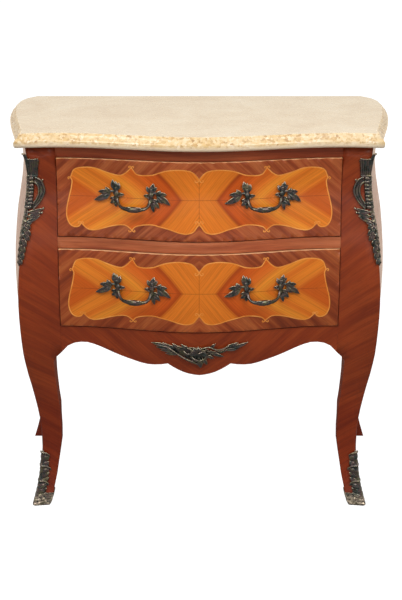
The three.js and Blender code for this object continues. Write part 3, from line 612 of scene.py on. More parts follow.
# painted sheen: the middle rail takes the paler kingwood
rail_veneer = polished_wood("kingwood on the rails", level_grain, RAIL_KINGWOOD_PAINTED_SHEEN, 0.02, 4.0)
upper_border, lower_border = (
    polished_wood(f"kingwood border of the {which} drawer",
                  slanting_grain(math.radians(-40), seam * METRES), colours, 0.017, seed,
                  extra=bare_back_and_painted_edge_highlight)
    for which, seam, colours, seed in (("upper", UPPER_SEAM, UPPER_BORDER_PAINTED_LIT, 7.0),
                                       ("lower", LOWER_SEAM, LOWER_BORDER_PAINTED_SHADED, 9.0)))
board_grain = straight_grain("Y", "X", "Z")
SAWN = {"roughness": 0.65, "coat": 0.0, "pores": 0.25}
WAXED = {"roughness": 0.6, "coat": 0.0, "pores": 0.4}
pine = polished_wood("pine carcass wood", level_grain, PINE, 0.03, 11.0, **SAWN)
pine_boards = polished_wood("pine boards", board_grain, PINE, 0.03, 17.0, **SAWN)
side_grain = straight_grain("Z", "Y", "X")
oak_sides = polished_wood("oak of the drawer sides", side_grain, OAK, 0.02, 13.0, **WAXED)
oak_across = polished_wood("oak across the drawers", level_grain, OAK, 0.02, 15.0, **WAXED)
oak_bottoms = polished_wood("oak of the drawer bottoms", board_grain, OAK, 0.025, 19.0, **WAXED)
INLAY_POLISH = {"coat_weight": 0.1, "coat_roughness": 0.14, "ior": 1.5, "specular_ior_level": 0.17}


def tulipwood(name, seam, seed):
    """A panel of four matched leaves about a level seam and an upright one."""
    material, tree, shader, place, axes = blank_material(name, paint(215, 120, 40))
    out = maths(tree, "ABSOLUTE", axes["X"])
    up = maths(tree, "ABSOLUTE", maths(tree, "SUBTRACT", axes["Z"], seam))
    lean = between(tree, out, 0.03, 0.26, 0.75, 1.5)
    reach = maths(tree, "SUBTRACT", out, times(tree, up, lean))
    figure = placed_group(
        tree, wood_figure, across=reach, along=up, depth=0.0, band_width=0.022, seed=seed)
    wear = worn_surface(tree, place, seed)
    colour = painted(
        tree, between(tree, reach, -0.06, 0.29, kind="LINEAR"),
        (0, 226, 126, 34), (0.26, 222, 122, 32), (0.285, 160, 62, 12), (0.31, 192, 80, 18),
        (0.37, 206, 90, 22), (0.45, 220, 112, 34), (0.53, 232, 146, 44), (0.6, 216, 112, 30),
        (0.68, 224, 130, 36), (0.76, 216, 118, 34), (0.8, 191, 86, 19), (0.9, 194, 89, 21),
        (1, 204, 102, 26))
    streak = toned(tree, figure["Streaks"], (0, 0.7), (0.5, 0.97), (1, 1.16))
    colour = colour_mix(tree, 0.8, colour, streak, "MULTIPLY")
    colour = colour_mix(tree, times(tree, figure["Bands"], 0.35), colour, paint(196, 88, 24))
    colour = colour_mix(tree, times(tree, figure["Pores"], 0.3), colour, paint(140, 62, 20))
    seam_line = between(tree, maths(tree, "MINIMUM", out, up), 0.0002, 0.0008, 0.6, 0.0)
    colour = colour_mix(tree, seam_line, colour, paint(110, 46, 16))
    set_shader(tree, shader, base_color=colour, roughness=times_plus(tree, wear["Smears"], 0.12, 0.28),
               normal=bump(tree, figure["Streaks"], 0.00008, 0.4), **INLAY_POLISH)
    return material


def boxwood():
    material, tree, shader, place, axes = blank_material("boxwood stringing", paint(232, 158, 84))
    smears = worn_surface(tree, place, 21.0)["Smears"]
    set_shader(tree, shader, base_color=painted(tree, smears, (0, 218, 130, 50), (1, 236, 158, 78)),
               roughness=times_plus(tree, smears, 0.12, 0.28),
               normal=bump(tree, smears, 0.00005, 0.3), **INLAY_POLISH)
    return material


def marble():
    """Crumbly ochre on the moulded edge, a calmer slab above, and painted reflection: the top face
    painted paler and the lip below painted pale.
    """
    material, tree, shader, place, axes = blank_material("golden breccia marble", paint(232, 212, 172))
    clouds = noise(tree, place, 9.0, 6.0, 0.62, distortion=0.6)
    crumbs = node(tree, "ShaderNodeTexVoronoi", {"Vector": place, "Scale": 210.0})
    crumb = node(tree, "ShaderNodeSeparateColor", {0: crumbs.outputs["Color"]}).outputs[0]
    patches = noise(tree, place, 55.0, 5.0, 0.7)
    pale_body = painted(tree, clouds, (0.3, 216, 180, 120), (0.5, 224, 194, 142), (0.7, 230, 208, 170))
    grains = painted(tree, crumb, (0, 160, 108, 58), (0.16, 188, 142, 82), (0.4, 218, 184, 130),
                     (0.75, 232, 208, 168), (1, 240, 224, 198))
    colour = colour_mix(tree, between(tree, patches, 0.38, 0.62, 0.2, 0.75), pale_body, grains)
    calm_top_painted_reflection = painted(tree, clouds, (0.3, 222, 200, 168), (0.55, 232, 213, 182), (0.8, 238, 222, 194))
    facing = face_normal(tree)
    # painted reflection: the upward top face is painted paler, as the bright room shows in its polish
    above = between(tree, facing["Z"], 0.88, 0.98, 0.0, 0.8)
    # painted reflection: the downward faces of the lip are painted pale, as if lit from the floor
    below = between(tree, facing["Z"], 0.25, -0.25, 0.0, 0.8)
    colour = colour_mix(tree, above, colour, calm_top_painted_reflection)
    colour = colour_mix(tree, below, colour, paint(255, 232, 200))
    set_shader(tree, shader, base_color=colour, roughness=between(tree, patches, 0.4, 0.75, 0.22, 0.34),
               coat_weight=0.2, coat_roughness=0.2, ior=1.5, normal=bump(tree, patches, 0.0001, 0.25))
    return material


def patinated_bronze():
    """Mottled brown and green, dark in the hollows, with a painted highlight on raised edges, strongest
    where they face up, and pale speckles near the floor.
    """
    material, tree, shader, place, axes = blank_material("patinated bronze", paint(66, 60, 50))
    pointiness = node(tree, "ShaderNodeNewGeometry").outputs["Pointiness"]
    wear = worn_surface(tree, place, 31.0)
    colour = painted(tree, noise(tree, place, 75.0, 5.0, 0.65), (0.36, 54, 42, 34), (0.44, 62, 76, 72),
                     (0.51, 100, 78, 78), (0.58, 80, 84, 64), (0.7, 128, 108, 86))
    # painted highlight: raised edges are painted pale, more where they face up to the light
    painted_light_from_above = between(tree, face_normal(tree)["Z"], -0.1, 0.6, 0.2, 0.95)
    raised = times(tree, between(tree, pointiness, 0.505, 0.56), painted_light_from_above)
    hollow = between(tree, pointiness, 0.497, 0.455)
    speckle = between(tree, noise(tree, place, 190.0, 3.0), 0.42, 0.58, 0.12, 1.0)
    # paler speckles in a band just above the floor
    pale_speckles_near_floor = times(tree, between(tree, axes["Z"], 0.03, 0.014), speckle)
    colour = colour_mix(tree, raised, colour, paint(206, 190, 158))
    colour = colour_mix(tree, times(tree, hollow, 0.92), colour, paint(18, 14, 11))
    colour = colour_mix(tree, times(tree, pale_speckles_near_floor, 0.85), colour, paint(208, 190, 164))
    set_shader(tree, shader, base_color=colour, roughness=times_plus(tree, wear["Smears"], 0.18, 0.24),
               metallic=times_plus(tree, hollow, -0.5, 0.85),
               normal=bump(tree, noise(tree, place, 900.0, 3.0), 0.00015, 0.4))
    return material


def plain_steel():
    material, tree, shader, place, axes = blank_material("screw steel", paint(150, 150, 146))
    smears = worn_surface(tree, place, 41.0)["Smears"]
    set_shader(tree, shader, base_color=painted(tree, smears, (0, 120, 118, 112), (1, 168, 168, 164)),
               roughness=times_plus(tree, smears, 0.2, 0.3), metallic=1.0)
    return material


upper_tulipwood = tulipwood("tulipwood of the upper drawer", UPPER_SEAM * METRES, 2.0)
lower_tulipwood = tulipwood("tulipwood of the lower drawer", LOWER_SEAM * METRES, 3.0)
stringing = boxwood()
breccia = marble()
bronze = patinated_bronze()
steel = plain_steel()


# Finishes of the solids: the first row with a word of the name counts, else pine
FINISHES = [
    ("screw", steel), ("mount handle shoe", bronze), ("marble_top", breccia),
    ("top_front_rail", top_rail_veneer), ("middle_front_rail", rail_veneer),
    ("upper_drawer_front", upper_border), ("lower_drawer_front", lower_border),
    ("side_panel", side_veneer), ("leg front_apron", veneer), ("drawer_side", oak_sides),
    ("drawer_bottom", oak_bottoms), ("drawer", oak_across), ("board dust_panel", pine_boards),
]


def finish_for(name):
    fitting = (finish for words, finish in FINISHES if any(word in name for word in words.split()))
    return next(fitting, pine)


for name, solid in nodes.items():
    solid.data.materials.clear()
    solid.data.materials.append(finish_for(name))


# Replacing pieces for the solids whose shape stays, with faired and smoothly shaded faces
FRONT_CELL = 9
NEAR_FACE = 1.5
EDGE_BEVEL = 2
SAME_PLANE = 0.2
LARGE_FLAT = 0.1
FLAT_RIM = 1.5
opening_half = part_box("upper_drawer_front")[1][0] / METRES


def fair_front(bm, proud, low, high):
    """Cuts a bowed front into small cells and brings them onto the true curve."""
    rows = max(2, round((high - low) / FRONT_CELL))
    for k in range(1, rows):
        cut(bm, Vector((0, 0, low + (high - low) * k / rows)) * METRES, (0, 0, 1))
    columns = round(opening_half * 2 / FRONT_CELL)
    for k in range(1, columns):
        cut(bm, Vector((-opening_half + 2 * opening_half * k / columns, 0, 0)) * METRES, (1, 0, 0))
    for vertex in bm.verts:
        x, y, z = vertex.co / METRES
        face = front_y(x, z) - proud
        if abs(y - face) < NEAR_FACE:
            vertex.co.y = face * METRES


def smooth_copy(name, body, ending="veneered", sharp_angle=32, proud=None, keep_flats=False):
    """The same shape as a solid, with its curved faces made fair and shaded smoothly."""
    bm = opened(nodes[name].data)
    bmesh.ops.remove_doubles(bm, verts=bm.verts[:], dist=WELD_DISTANCE)
    if keep_flats:
        # a narrow rim round each large flat face keeps it flat under smooth shading
        bmesh.ops.dissolve_limit(
            bm, angle_limit=math.radians(SAME_PLANE), verts=bm.verts[:], edges=bm.edges[:])
        wide = [face for face in bm.faces if face.calc_area() > LARGE_FLAT]
        bmesh.ops.inset_individual(bm, faces=wide, thickness=FLAT_RIM * METRES, depth=0)
    if proud is not None:
        low, high = (corner[2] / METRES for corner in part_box(name))
        bevel = EDGE_BEVEL if proud else 0
        fair_front(bm, proud, low + bevel, high - bevel)
    mesh = mesh_from(bm, name)
    piece = finished(f"{name}_{ending}", mesh, finish_for(name), body)
    mesh.set_sharp_from_angle(angle=math.radians(sharp_angle))
    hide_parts(name)
    return piece


# Rear legs' inner sides, hidden in the photograph: height and how far slimmer
HOLLOW = [(0, 0), (30, 2), (80, 11), (150, 13), (220, 13), (290, 8), (340, 2), (371, 0)]
HOLLOW_STEP = 15


def hollow_inside(mesh):
    """Slims a rear leg from its inner side between the foot and the rail."""
    bm = opened(mesh)
    for height in range(HOLLOW_STEP, HOLLOW[-1][0], HOLLOW_STEP):
        cut(bm, (0, 0, height * METRES), (0, 0, 1))
    rows = {}
    for vertex in bm.verts:
        rows.setdefault(round(vertex.co.z / METRES), []).append(abs(vertex.co.x))
    for vertex in bm.verts:
        height = vertex.co.z / METRES
        row = rows[round(height)]
        inner, outer = min(row), max(row)
        if height < HOLLOW[-1][0] and outer > inner:
            share = (outer - abs(vertex.co.x)) / (outer - inner)
            depth = curve_through(HOLLOW, height) * METRES * share
            vertex.co.x += math.copysign(depth, vertex.co.x)
    bm.to_mesh(mesh)
    bm.free()


for side_name, side in SIDES:
    smooth_copy(f"front_leg_{side_name}", "carcass")
    hollow_inside(smooth_copy(f"rear_leg_{side_name}", "carcass").data)
    smooth_copy(f"side_panel_{side_name}", "carcass")
for rail in ("top_front_rail", "middle_front_rail", "front_apron"):
    smooth_copy(rail, "carcass", proud=0)
for drawer in DRAWERS:
    smooth_copy(f"{drawer}_front", drawer, proud=DRAWER_PROUD)
smooth_copy("marble_top", "carcass", "polished", sharp_angle=50, keep_flats=True)

# Marquetry panels: half outline, from the middle of the top to the middle of the bottom
PANEL_HALF = [
    (0, 44), (3.4, 49), (8, 54.5), (13, 59), (22, 63), (43, 65), (66, 62.8), (83, 58), (99, 52),
    (120, 50), (133, 52), (138, 57), (144, 66), (144, 66), (150, 60), (157, 53.5), (168, 48),
    (182, 49.5), (201, 54.5), (220, 61), (239, 63), (260, 60.5), (269, 55.5), (273, 47), (276, 39),
    (276, 39), (273, 34), (273, 28), (275.5, 14), (280, -3), (284, -19), (286, -36), (284, -50),
    (278, -61), (268, -65.5), (259, -63.5), (254.5, -57), (254.5, -57), (250, -61), (242, -68),
    (230, -71), (213, -68), (194, -62), (174, -57.5), (160, -57), (152, -60.5), (144, -67), (144, -67),
    (137, -59.5), (121, -55), (100, -53.5), (83.5, -57), (62, -62), (43, -68), (27, -70), (13, -66),
    (5, -56), (0, -50),
]
CURLS = [
    [(276, 39), (281, 41), (284, 38), (282, 34.5), (279, 36)],
    [(254.5, -57), (250, -54), (246.5, -56.5), (248, -60), (251, -59)],
    [(254.5, -57), (258, -53), (263, -54), (263.5, -58), (260, -59)],
    [(144, 66), (141, 70), (137, 70), (136.5, 66.5), (139.5, 66)],
    [(144, 66), (148, 71), (152, 70), (152, 66.5), (149, 66.5)],
    [(144, -67), (140, -71), (136, -71.5), (134.5, -68), (137.5, -66.5)],
    [(144, -67), (148.5, -71), (152.5, -72.5), (155, -69), (152, -67)],
    [(0, 44), (3, 39), (8, 36), (13, 38), (12, 42), (8.5, 41)],
    [(0, -50), (3, -44), (8, -41), (12.5, -43.5), (11, -47.5), (7.5, -46.5)],
]
PANEL_FIT = 0.994
PANEL_CELL = 9.7
CLOSE_POINTS = 0.3
PANEL_SINK = -0.5
PANEL_LIFT = 0.12
STRING_LIFT = 0.22
CURL_LIFT = 0.25
STRING_HALF_WIDTH = 1.2
STRING_THICKNESS = 0.4
CURL_SHARE = 0.68
FACE_ORDER = Vector((1, 37.3, 0.71))


def panel_outline(rise):
    half = [(u * PANEL_FIT, v * (rise if v > 0 else 1)) for u, v in smooth_path(PANEL_HALF, 3)]
    clean = [half[0]]
    for point in half[1:]:
        if (Vector(point) - Vector(clean[-1])).length > CLOSE_POINTS:
            clean.append(point)
    return clean


def marquetry(drawer, seam, rise, wood):
    place = on_drawer(0, seam)
    half = panel_outline(rise)
    left = [(-u, v) for u, v in reversed(half[1:-1])]
    bm = cut_to_cells(half + left, PANEL_CELL)
    bmesh.ops.triangulate(bm, faces=bm.faces[:])
    skirt = bmesh.ops.extrude_edge_only(bm, edges=[e for e in bm.edges if e.is_boundary])["geom"]
    edge_verts = set(only_verts(skirt))
    for vertex in bm.verts:
        vertex.co.z = PANEL_SINK if vertex in edge_verts else PANEL_LIFT
    bmesh.ops.recalc_face_normals(bm, faces=bm.faces[:])
    # the skirt's faces are made in no fixed order
    bm.faces.sort(key=lambda face: face.calc_center_median().dot(FACE_ORDER))
    mesh = placed(mesh_from(bm, f"{drawer}_panel"), place)
    flip_to_front(mesh)
    finished(f"{drawer}_panel", mesh, wood, drawer, smooth=False)

    bm = bmesh.new()
    strip(bm, half, STRING_HALF_WIDTH, STRING_LIFT)
    for curl in CURLS:
        from_u, from_v = curl[0]
        points = [
            ((from_u + (u - from_u) * CURL_SHARE) * PANEL_FIT,
             (from_v + (v - from_v) * CURL_SHARE) * (rise if from_v > 0 else 1))
            for u, v in smooth_path(curl, 4)
        ]
        strip(bm, points, lambda t: STRING_HALF_WIDTH * (1 - 0.4 * t), CURL_LIFT)
    add_mirrored(bm)
    mesh = placed(mesh_from(bm, f"{drawer}_stringing"), place)
    flip_to_front(mesh)
    piece = finished(f"{drawer}_stringing", mesh, stringing, drawer, smooth=False)
    thick = piece.modifiers.new("thickness", "SOLIDIFY")
    thick.thickness = STRING_THICKNESS * METRES
    thick.offset = -1


def flip_to_front(mesh):
    """Turns the faces of a thin shape to the front."""
    bm = opened(mesh)
    backward = [face for face in bm.faces if face.normal.y > 0]
    bmesh.ops.reverse_faces(bm, faces=backward)
    bm.to_mesh(mesh)
    bm.free()


marquetry("upper_drawer", UPPER_SEAM, 1.0, upper_tulipwood)
marquetry("lower_drawer", LOWER_SEAM, 1.06, lower_tulipwood)


# Handles: two leafy uprights joined by a bowed grip. The two ends differ, as in the photograph
HANDLE_LEAVES = {
    -1: [
        ((38, 31), (45, 54), 13, -1), ((37, 32), (31, 48), 11, 1), ((38, 34), (38, 51), 9, 0),
        ((34, 25), (20, 24), 8, 1), ((50, 27), (85, 9), 13, -2), ((50, 27), (60, 38), 10, -1),
        ((53, 28), (76, 27), 10, 1), ((51, 24), (69, 11), 9, -1), ((37, 13), (50, 3), 9, 1),
        ((36, 11), (38, -4), 9, 0.5), ((38, 16), (51, 13), 7, 1),
    ],
    1: [
        ((38, 30), (43, 50), 12, 0.5), ((37, 31), (28, 43), 10, 1), ((39, 31), (50, 42), 10, 1),
        ((34, 25), (21, 24), 8, 1), ((49, 26), (78, 5), 12, 1.5), ((49, 26), (57, 36), 9, -1),
        ((51, 27), (71, 27), 10, 1), ((50, 23), (63, 9), 9, -1), ((37, 12), (43, -11), 9, 0.5),
        ((38, 13), (55, -2), 10, 1.5), ((38, 16), (53, 9), 8, 1.5),
    ],
}


def handle_pattern():
    bm = bmesh.new()
    for side, rows in HANDLE_LEAVES.items():
        # knotted upright and the thin arm to the grip
        sweep(bm, sided(side, [
            (36, 6, 2, 3.4, 3), (36.5, 13, 4, 5.4, 4.6), (36.5, 18, 4.4, 4, 4), (37, 25, 5.2, 6.6, 5.4),
            (37.5, 31, 4.6, 4.2, 4), (38, 38, 3.8, 5, 3.4)]), sides=12)
        sweep(bm, sided(side, [
            (36, 16, 4, 3.6, 3.6), (33.5, 8, 9, 3.4, 3.3), (29.5, 2.5, 16, 3.3, 3.2),
            (23, 0, 22.5, 3.7, 3.6), (14, -1, 26, 4.6, 4.6), (8, -1.4, 26.8, 5.6, 5.2)]), sides=12)
        sweep(bm, sided(side, [
            (37, 23, 4, 2.6, 2.4), (42, 28.5, 4, 2.4, 2.4), (48, 29.5, 3.8, 2.4, 2.4),
            (54, 26, 3.4, 2.6, 2.2)]))
        leaves(bm, rows, (3.4, 5.6, 2.2), way=side)
        # leaves wrapped round the ends of the grip
        leaf(bm, (17 * side, 1), (3 * side, -4.5), 7, -0.8 * side, (28, 30.6, 30.8), 2.2)
        leaf(bm, (16 * side, 3), (4 * side, 3.5), 6, 0.8 * side, (28.5, 31, 30.6), 2)
    sweep(bm, [
        (-14, -1, 26, 4.2, 4.2), (-9, -1.4, 26.8, 5.8, 5.4), (0, -1.5, 26.9, 6.3, 5.7),
        (9, -1.4, 26.8, 5.8, 5.4), (14, -1, 26, 4.2, 4.2)], sides=14)
    return cast(bm, voxel=0.65, softening=1)


handle_mesh = handle_pattern()
HANDLE_SPREAD = 139.1
GRIP_DROP = 78 * 0.17
for drawer in DRAWERS:
    low, high = (corner[2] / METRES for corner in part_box(f"{drawer}_front"))
    for side_name, side in SIDES:
        mesh = placed(handle_mesh.copy(), on_drawer(side * HANDLE_SPREAD, (low + high) / 2 - GRIP_DROP))
        piece = finished(f"{drawer}_{side_name}_pull", mesh, bronze, drawer)
        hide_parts(f"{drawer}_handle_{side_name}")


# Corner mounts: reach from the corner, height and lift
SCROLL_OUTER = [(15, 776), (28, 770), (35.5, 757), (38.8, 745), (35, 732), (27.5, 719.5), (17, 709)]
SCROLL_INNER = [(13, 766), (21.5, 759), (25.2, 745), (23, 733), (15, 719)]
SCROLL_FLOOR = [(15, 771), (25, 764.5), (31, 753), (32, 743), (29, 732), (21.5, 719.5), (14, 712)]
MOUNT_LEAVES = [
    ((4, 702), (41, 710), 9, -2), ((4, 693), (39, 702), 9, -2), ((4, 683), (36, 694), 9, -2),
    ((4, 676), (22, 684), 8, -1), ((4, 673), (19, 667), 10, 1), ((4, 664), (22, 653), 11, 1),
    ((4, 655), (21, 642), 11, 1), ((4, 645), (14, 629), 10, 0.6), ((3, 633), (12, 615), 9.5, 0.5),
    ((3, 619), (10.5, 601), 9, 0.4), ((2, 605), (7, 590), 7, 0.3),
]
MOUNT_BUDS = [
    (41, 709, 2.6), (39, 700.5, 2.4), (11.5, 674, 3.8), (14, 661, 3.4), (14.5, 649, 3), (34, 770, 1.8),
]
# shares of the drawn reach along the front and round the side
FRONT_REACH, SIDE_REACH = 0.87, 0.7
BEAD_STEP, HUSK_STEP = 7.6, 14.3


def corner_pattern():
    bm = bmesh.new()
    for way in (FRONT_REACH, -SIDE_REACH):
        # flared cap, fluted, with a rolled rim and a moulding under it
        sweep(bm, sided(way, [
            (11.5, 779, 1, 10.5, 1.6), (12, 793, 1.3, 11.5, 1.7), (13, 805, 1.8, 13, 1.8),
            (14.3, 815.5, 2.4, 14.5, 1.8)]), sides=20)
        for foot, head in ((2.5, 2.5), (7, 8.5), (12, 14.5), (17, 20.5), (21.5, 27)):
            sweep(bm, sided(way, [
                (foot, 781, 2.4, 1.1, 1.1), (foot * 1.05, 796, 2.9, 1.2, 1.2),
                (head, 815, 3.8, 1.3, 1.2)]))
        sweep(bm, sided(way, [
            (0, 817, 4, 1.5, 1.5), (10, 816, 3.8, 1.4, 1.4), (20, 816, 3.6, 1.4, 1.4),
            (29, 817.5, 3.2, 1.4, 1.4)]))
        sweep(bm, sided(way, [
            (0, 779, 2.6, 2.2, 2), (11, 778.5, 2.8, 2.2, 2), (22.5, 779.5, 2, 1.8, 1.6)]))
        # beaded stem
        sweep(bm, sided(way, [
            (6.5, 780, 0.8, 5.5, 1.6), (7, 745, 0.8, 5.8, 1.6), (7.5, 708, 0.8, 6.5, 1.6)]), sides=14)
        for k in range(9):
            z = 773.5 - BEAD_STEP * k
            sweep(bm, sided(way, [
                (7.2, z + 3.9, 1.6, 1.6, 1.4), (7.4, z + 1.6, 3.4, 4.6, 2.7),
                (7.4, z - 1.6, 3.4, 4.6, 2.7), (7.2, z - 3.9, 1.6, 1.6, 1.4)]), sides=12, steps=2)
        # scroll: two ribs with a sunk band between
        for line, *size in ((SCROLL_OUTER, 3, 2.4, 2.6), (SCROLL_INNER, 2.4, 1.9, 2.1),
                            (SCROLL_FLOOR, 0.8, 6, 1.2)):
            sweep(bm, sided(way, [(u, v, *size) for u, v in line]), sides=12)
        # fanned leaves, and smaller ones down to the end
        leaves(bm, MOUNT_LEAVES, (2.4, 4.8, 2.6), 2.6, way)
        for u, v, size in MOUNT_BUDS:
            sweep(bm, sided(way, [
                (u, v + size, 1.6, size * 0.5, 1.2), (u, v, 3, size, 3),
                (u, v - size, 1.6, size * 0.5, 1.2)]), sides=12)
    # curled tip over the corner
    sweep(bm, [
        (0, 808, 2, 4, 2.2), (0, 818, 3.4, 3.6, 2.3), (0, 826, 5.6, 3, 2.1), (0, 829.5, 8, 2.2, 1.8),
        (0, 827.5, 9.6, 1.6, 1.5)], sides=14)
    # rope of husks down the corner
    sweep(bm, [
        (0, 780, 0.6, 5, 2), (0, 700, 0.6, 5, 2), (0, 640, 0.6, 4, 1.8),
        (0, 588, 0.4, 1.8, 1.4)], sides=12)
    for k in range(13):
        top = 776 - HUSK_STEP * k
        wide = 2.4 if top > 705 else 4.8 if top > 640 else 3.6
        sweep(bm, [
            (0, top, 1, wide * 0.35, 1.2), (0, top - 5, 2, wide * 0.95, 2),
            (0, top - 9.5, 2.6, wide, 2.2), (0, top - 15, 1.4, wide * 0.3, 1)], sides=14, groove=0.6)
    return cast(bm, voxel=0.75, softening=1)


corner_mesh = corner_pattern()
for side_name, side in SIDES:
    mesh = placed(corner_mesh.copy(), on_corner(side))
    if side > 0:
        mesh.flip_normals()
    piece = finished(f"corner_casting_{side_name}", mesh, bronze, "carcass")
    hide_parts(f"corner_mount_{side_name}")


# Shoes: the solid's cup with a leaf up the corner, in one casting
def shoe_leaf():
    bm = bmesh.new()
    sweep(bm, [
        (0, 8, 1.4, 4.5, 2.4), (0, 40, 1.8, 4.5, 2.8), (0, 80, 1.6, 4, 2.6), (0, 112, 1.2, 3, 2),
        (0, 129, 0.6, 1.4, 1.2)], sides=12)
    for way in (1, -1):
        # three tiers of side lobes, each tier under a curled lip
        for low, high, reach, lobes in ((20, 56, 19, 3), (56, 92, 19, 3), (92, 124, 14, 2)):
            step = (high - low - 3) / lobes
            for k in range(lobes):
                foot = low + k * step
                far = reach * (1 - 0.05 * k)
                leaf(bm, (way, foot), (far * way, foot + step * 0.7), step * 0.95, -2 * way,
                     (2, 4, 2.6), 2.4, 0.3)
            sweep(bm, sided(way, [
                (0, high, 4.6, 1.8, 1.8), (reach * 0.5, high - 1, 5.2, 2, 1.9),
                (reach, high - 6.5, 3.8, 1.8, 1.7), (reach * 1.03, high - 12, 2.2, 1.2, 1.4)]))
        for low in (4, 12):
            sweep(bm, sided(way, [
                (0, low, 3.4, 3, 2), (9, low + 1, 3.6, 3, 2), (19, low + 3, 2.8, 2.8, 1.8)]))
    return mesh_from(bm, "shoe leaf")


shoe_leaf_mesh = shoe_leaf()
for side_name, side in SIDES:
    bm = opened(placed(shoe_leaf_mesh.copy(), on_corner(side)))
    bm.from_mesh(nodes[f"front_shoe_{side_name}"].data)
    bmesh.ops.remove_doubles(bm, verts=bm.verts[:], dist=WELD_DISTANCE)
    mesh = cast(bm, voxel=0.9 * METRES, softening=2)
    piece = finished(f"shoe_casting_{side_name}", mesh, bronze, "carcass")
    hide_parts(f"front_shoe_{side_name}")


# Spray on the apron
SPRAY_PLATE = [
    (-90, 419), (-60, 416), (-40, 413), (-20, 413), (0, 412), (14, 410), (30, 402), (50, 404),
    (70, 413), (90, 420), (70, 409), (52, 399), (34, 394), (22, 392), (14, 380), (6, 370), (0, 368),
    (-8, 374), (-18, 382), (-32, 390), (-46, 397), (-62, 403), (-78, 410),
]
SPRAY_LEAVES = [
    ((-66, 412), (-105, 421), 9, -2), ((-58, 406), (-94, 411), 7, -1.5),
    ((-52, 401), (-84, 404), 7, -1.5), ((-46, 396), (-74, 397), 7, -1), ((-50, 412), (-80, 423), 8, 2),
    ((-34, 410), (-59, 422), 8, 2), ((-20, 409), (-40, 421), 8, 1), ((-2, 388), (3, 363), 12, 1),
    ((6, 388), (17, 371), 9, 1.5), ((-8, 388), (-16, 374), 8, -1.5), ((14, 394), (33, 386), 8, 1.5),
    ((24, 399), (54, 390), 8, 1.5), ((18, 404), (42, 402), 7, -1), ((26, 411), (36, 422), 7, 1.5),
    ((56, 411), (86, 422), 7, 1.5), ((62, 411), (107, 422), 9, -2), ((56, 406), (90, 411), 7, -1.5),
]


def spray_pattern():
    bm = bmesh.new()
    plate = bm.faces.new([bm.verts.new((u, v, 1.6)) for u, v in SPRAY_PLATE])
    raised = bmesh.ops.extrude_face_region(bm, geom=[plate])["geom"]
    bmesh.ops.translate(bm, vec=(0, 0, -2.4), verts=only_verts(raised))
    leaves(bm, SPRAY_LEAVES, (3, 5.4, 2.6))
    # long stem from the left leaf to the foot of the spray
    sweep(bm, [
        (-92, 417, 5, 1.4, 1.8), (-72, 413.5, 6, 1.8, 2), (-58, 406, 7, 2, 2.4),
        (-42, 394, 6.6, 2.3, 2.6), (-23, 383, 6, 2.4, 2.6), (-4, 374, 5, 2.2, 2.2)], sides=12)
    # shell in the middle with a curl round it
    for turn in range(-3, 4):
        angle = math.radians(90 + turn * 27)
        across, up = math.cos(angle), math.sin(angle)
        fan = (-2 + 5 * across, 396 + 5 * up), (-2 + 23 * across, 396 + 20 * up), 9, 0
        leaves(bm, [fan], (5, 8.4, 3.4))
    sweep(bm, [
        (-18, 392, 5, 2.4, 2.4), (-9, 385, 7.4, 2.8, 3), (2, 383, 8.4, 3, 3.2), (12, 388, 8, 2.8, 3),
        (15, 398, 7, 2.4, 2.6), (8, 404, 8, 2.2, 2.4), (-1, 400, 9, 2.4, 2.4)], sides=12)
    sweep(bm, [
        (-34, 404, 4, 2, 2), (-26, 398, 6, 2.2, 2.4), (-18, 401, 6.6, 2.2, 2.4), (-18, 409, 6, 2, 2.2),
        (-26, 412, 5, 1.8, 2)], sides=12)
    # thin branch to the right leaf
    sweep(bm, [
        (8, 412, 5, 2, 2.4), (22, 415, 7, 1.9, 2.4), (38, 408.5, 7, 1.9, 2.4), (52, 410, 6.6, 1.9, 2.4),
        (64, 416, 5, 1.6, 2)])
    return cast(bm, voxel=0.7, softening=1)


piece = finished("apron_spray", placed(spray_pattern(), on_front), bronze, "carcass")
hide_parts("apron_mount")

# Floor, light and camera
floor_material, tree, shader, place, axes = blank_material("pale studio floor", grey(0.92))
wear = worn_surface(tree, place, 51.0)
ray = node(tree, "ShaderNodeLightPath").outputs
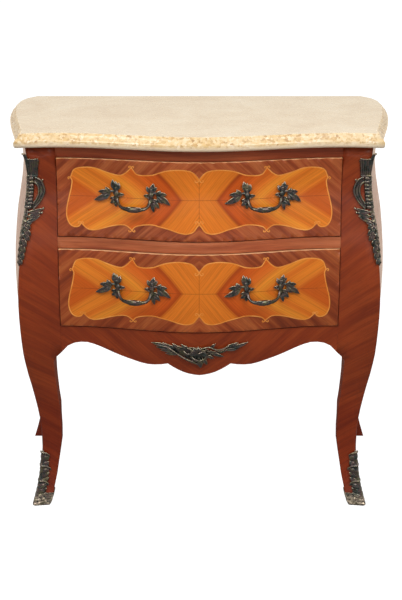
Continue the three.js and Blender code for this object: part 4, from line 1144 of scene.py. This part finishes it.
# the floor behind the chest shows its white in the polish, at grazing angles
behind = times(tree, between(tree, axes["Y"], 0.3, 0.8, 0.0, 0.8), ray["Is Glossy Ray"])
white = maths(tree, "MAXIMUM", times(tree, ray["Is Camera Ray"], 0.92), behind)
set_shader(tree, shader, base_color=toned(tree, wear["Tone"], (0, 0.3), (1, 0.32)), roughness=0.6,
           emission_color=painted(tree, ray["Is Glossy Ray"], (0, 255, 255, 255), (1, 255, 232, 204)),
           emission_strength=white, specular_ior_level=0.1)
bm = bmesh.new()
bmesh.ops.create_grid(bm, x_segments=8, y_segments=8, size=30)
floor = in_scene("floor", mesh_from(bm, "floor"))
floor.data.materials.append(floor_material)

world = bpy.data.worlds.new("white studio")
scene.world = world
world.use_nodes = True
tree = world.node_tree
heading = split(tree, node(tree, "ShaderNodeTexCoord").outputs["Generated"])
backdrop = between(tree, heading["Y"], -0.5, 0.2, 0.18, 0.6)
overhead = between(tree, heading["Z"], 0.2, 0.9, 0.0, 0.15)
level = between(tree, maths(tree, "ABSOLUTE", heading["Z"]), 0.03, 0.15, 2.1, 0.0)
ahead = between(tree, heading["Y"], -0.75, -0.4, 1.0, 0.0)
shine = maths(tree, "ADD", backdrop, times_plus(tree, level, ahead, overhead))
seen = node(tree, "ShaderNodeLightPath").outputs["Is Camera Ray"]
sky = tree.nodes["Background"].inputs
plug(tree, sky["Color"], grey(1))
plug(tree, sky["Strength"], maths(tree, "MAXIMUM", shine, seen))


def soft_light(name, place, aim, size, power):
    lamp = bpy.data.lights.new(name, "AREA")
    lamp.shape = "RECTANGLE"
    lamp.size, lamp.size_y = size
    lamp.energy = power
    light = in_scene(name, lamp)
    light.location = place
    light.rotation_euler = (Vector(aim) - Vector(place)).to_track_quat("-Z", "Y").to_euler()


soft_light("key light", (-1.7, -2.1, 3.5), (0, 0, 0.5), (1.8, 1.8), 69)
soft_light("fill light", (1.8, -2.1, 3.3), (0, 0, 0.5), (1.8, 1.8), 64)
soft_light("top light", (0, -0.6, 3.2), (0, 0, 0.6), (2.4, 1.6), 6)

camera = in_scene("camera", bpy.data.cameras.new("camera"))
camera.data.lens = 78.72
camera.data.sensor_width = 36
camera.data.shift_x = 0.003
camera.location = (0, -2.87, 1.484)
camera.rotation_euler = (math.radians(70.04), 0, 0)
scene.camera = camera
scene.view_settings.view_transform = "Standard"
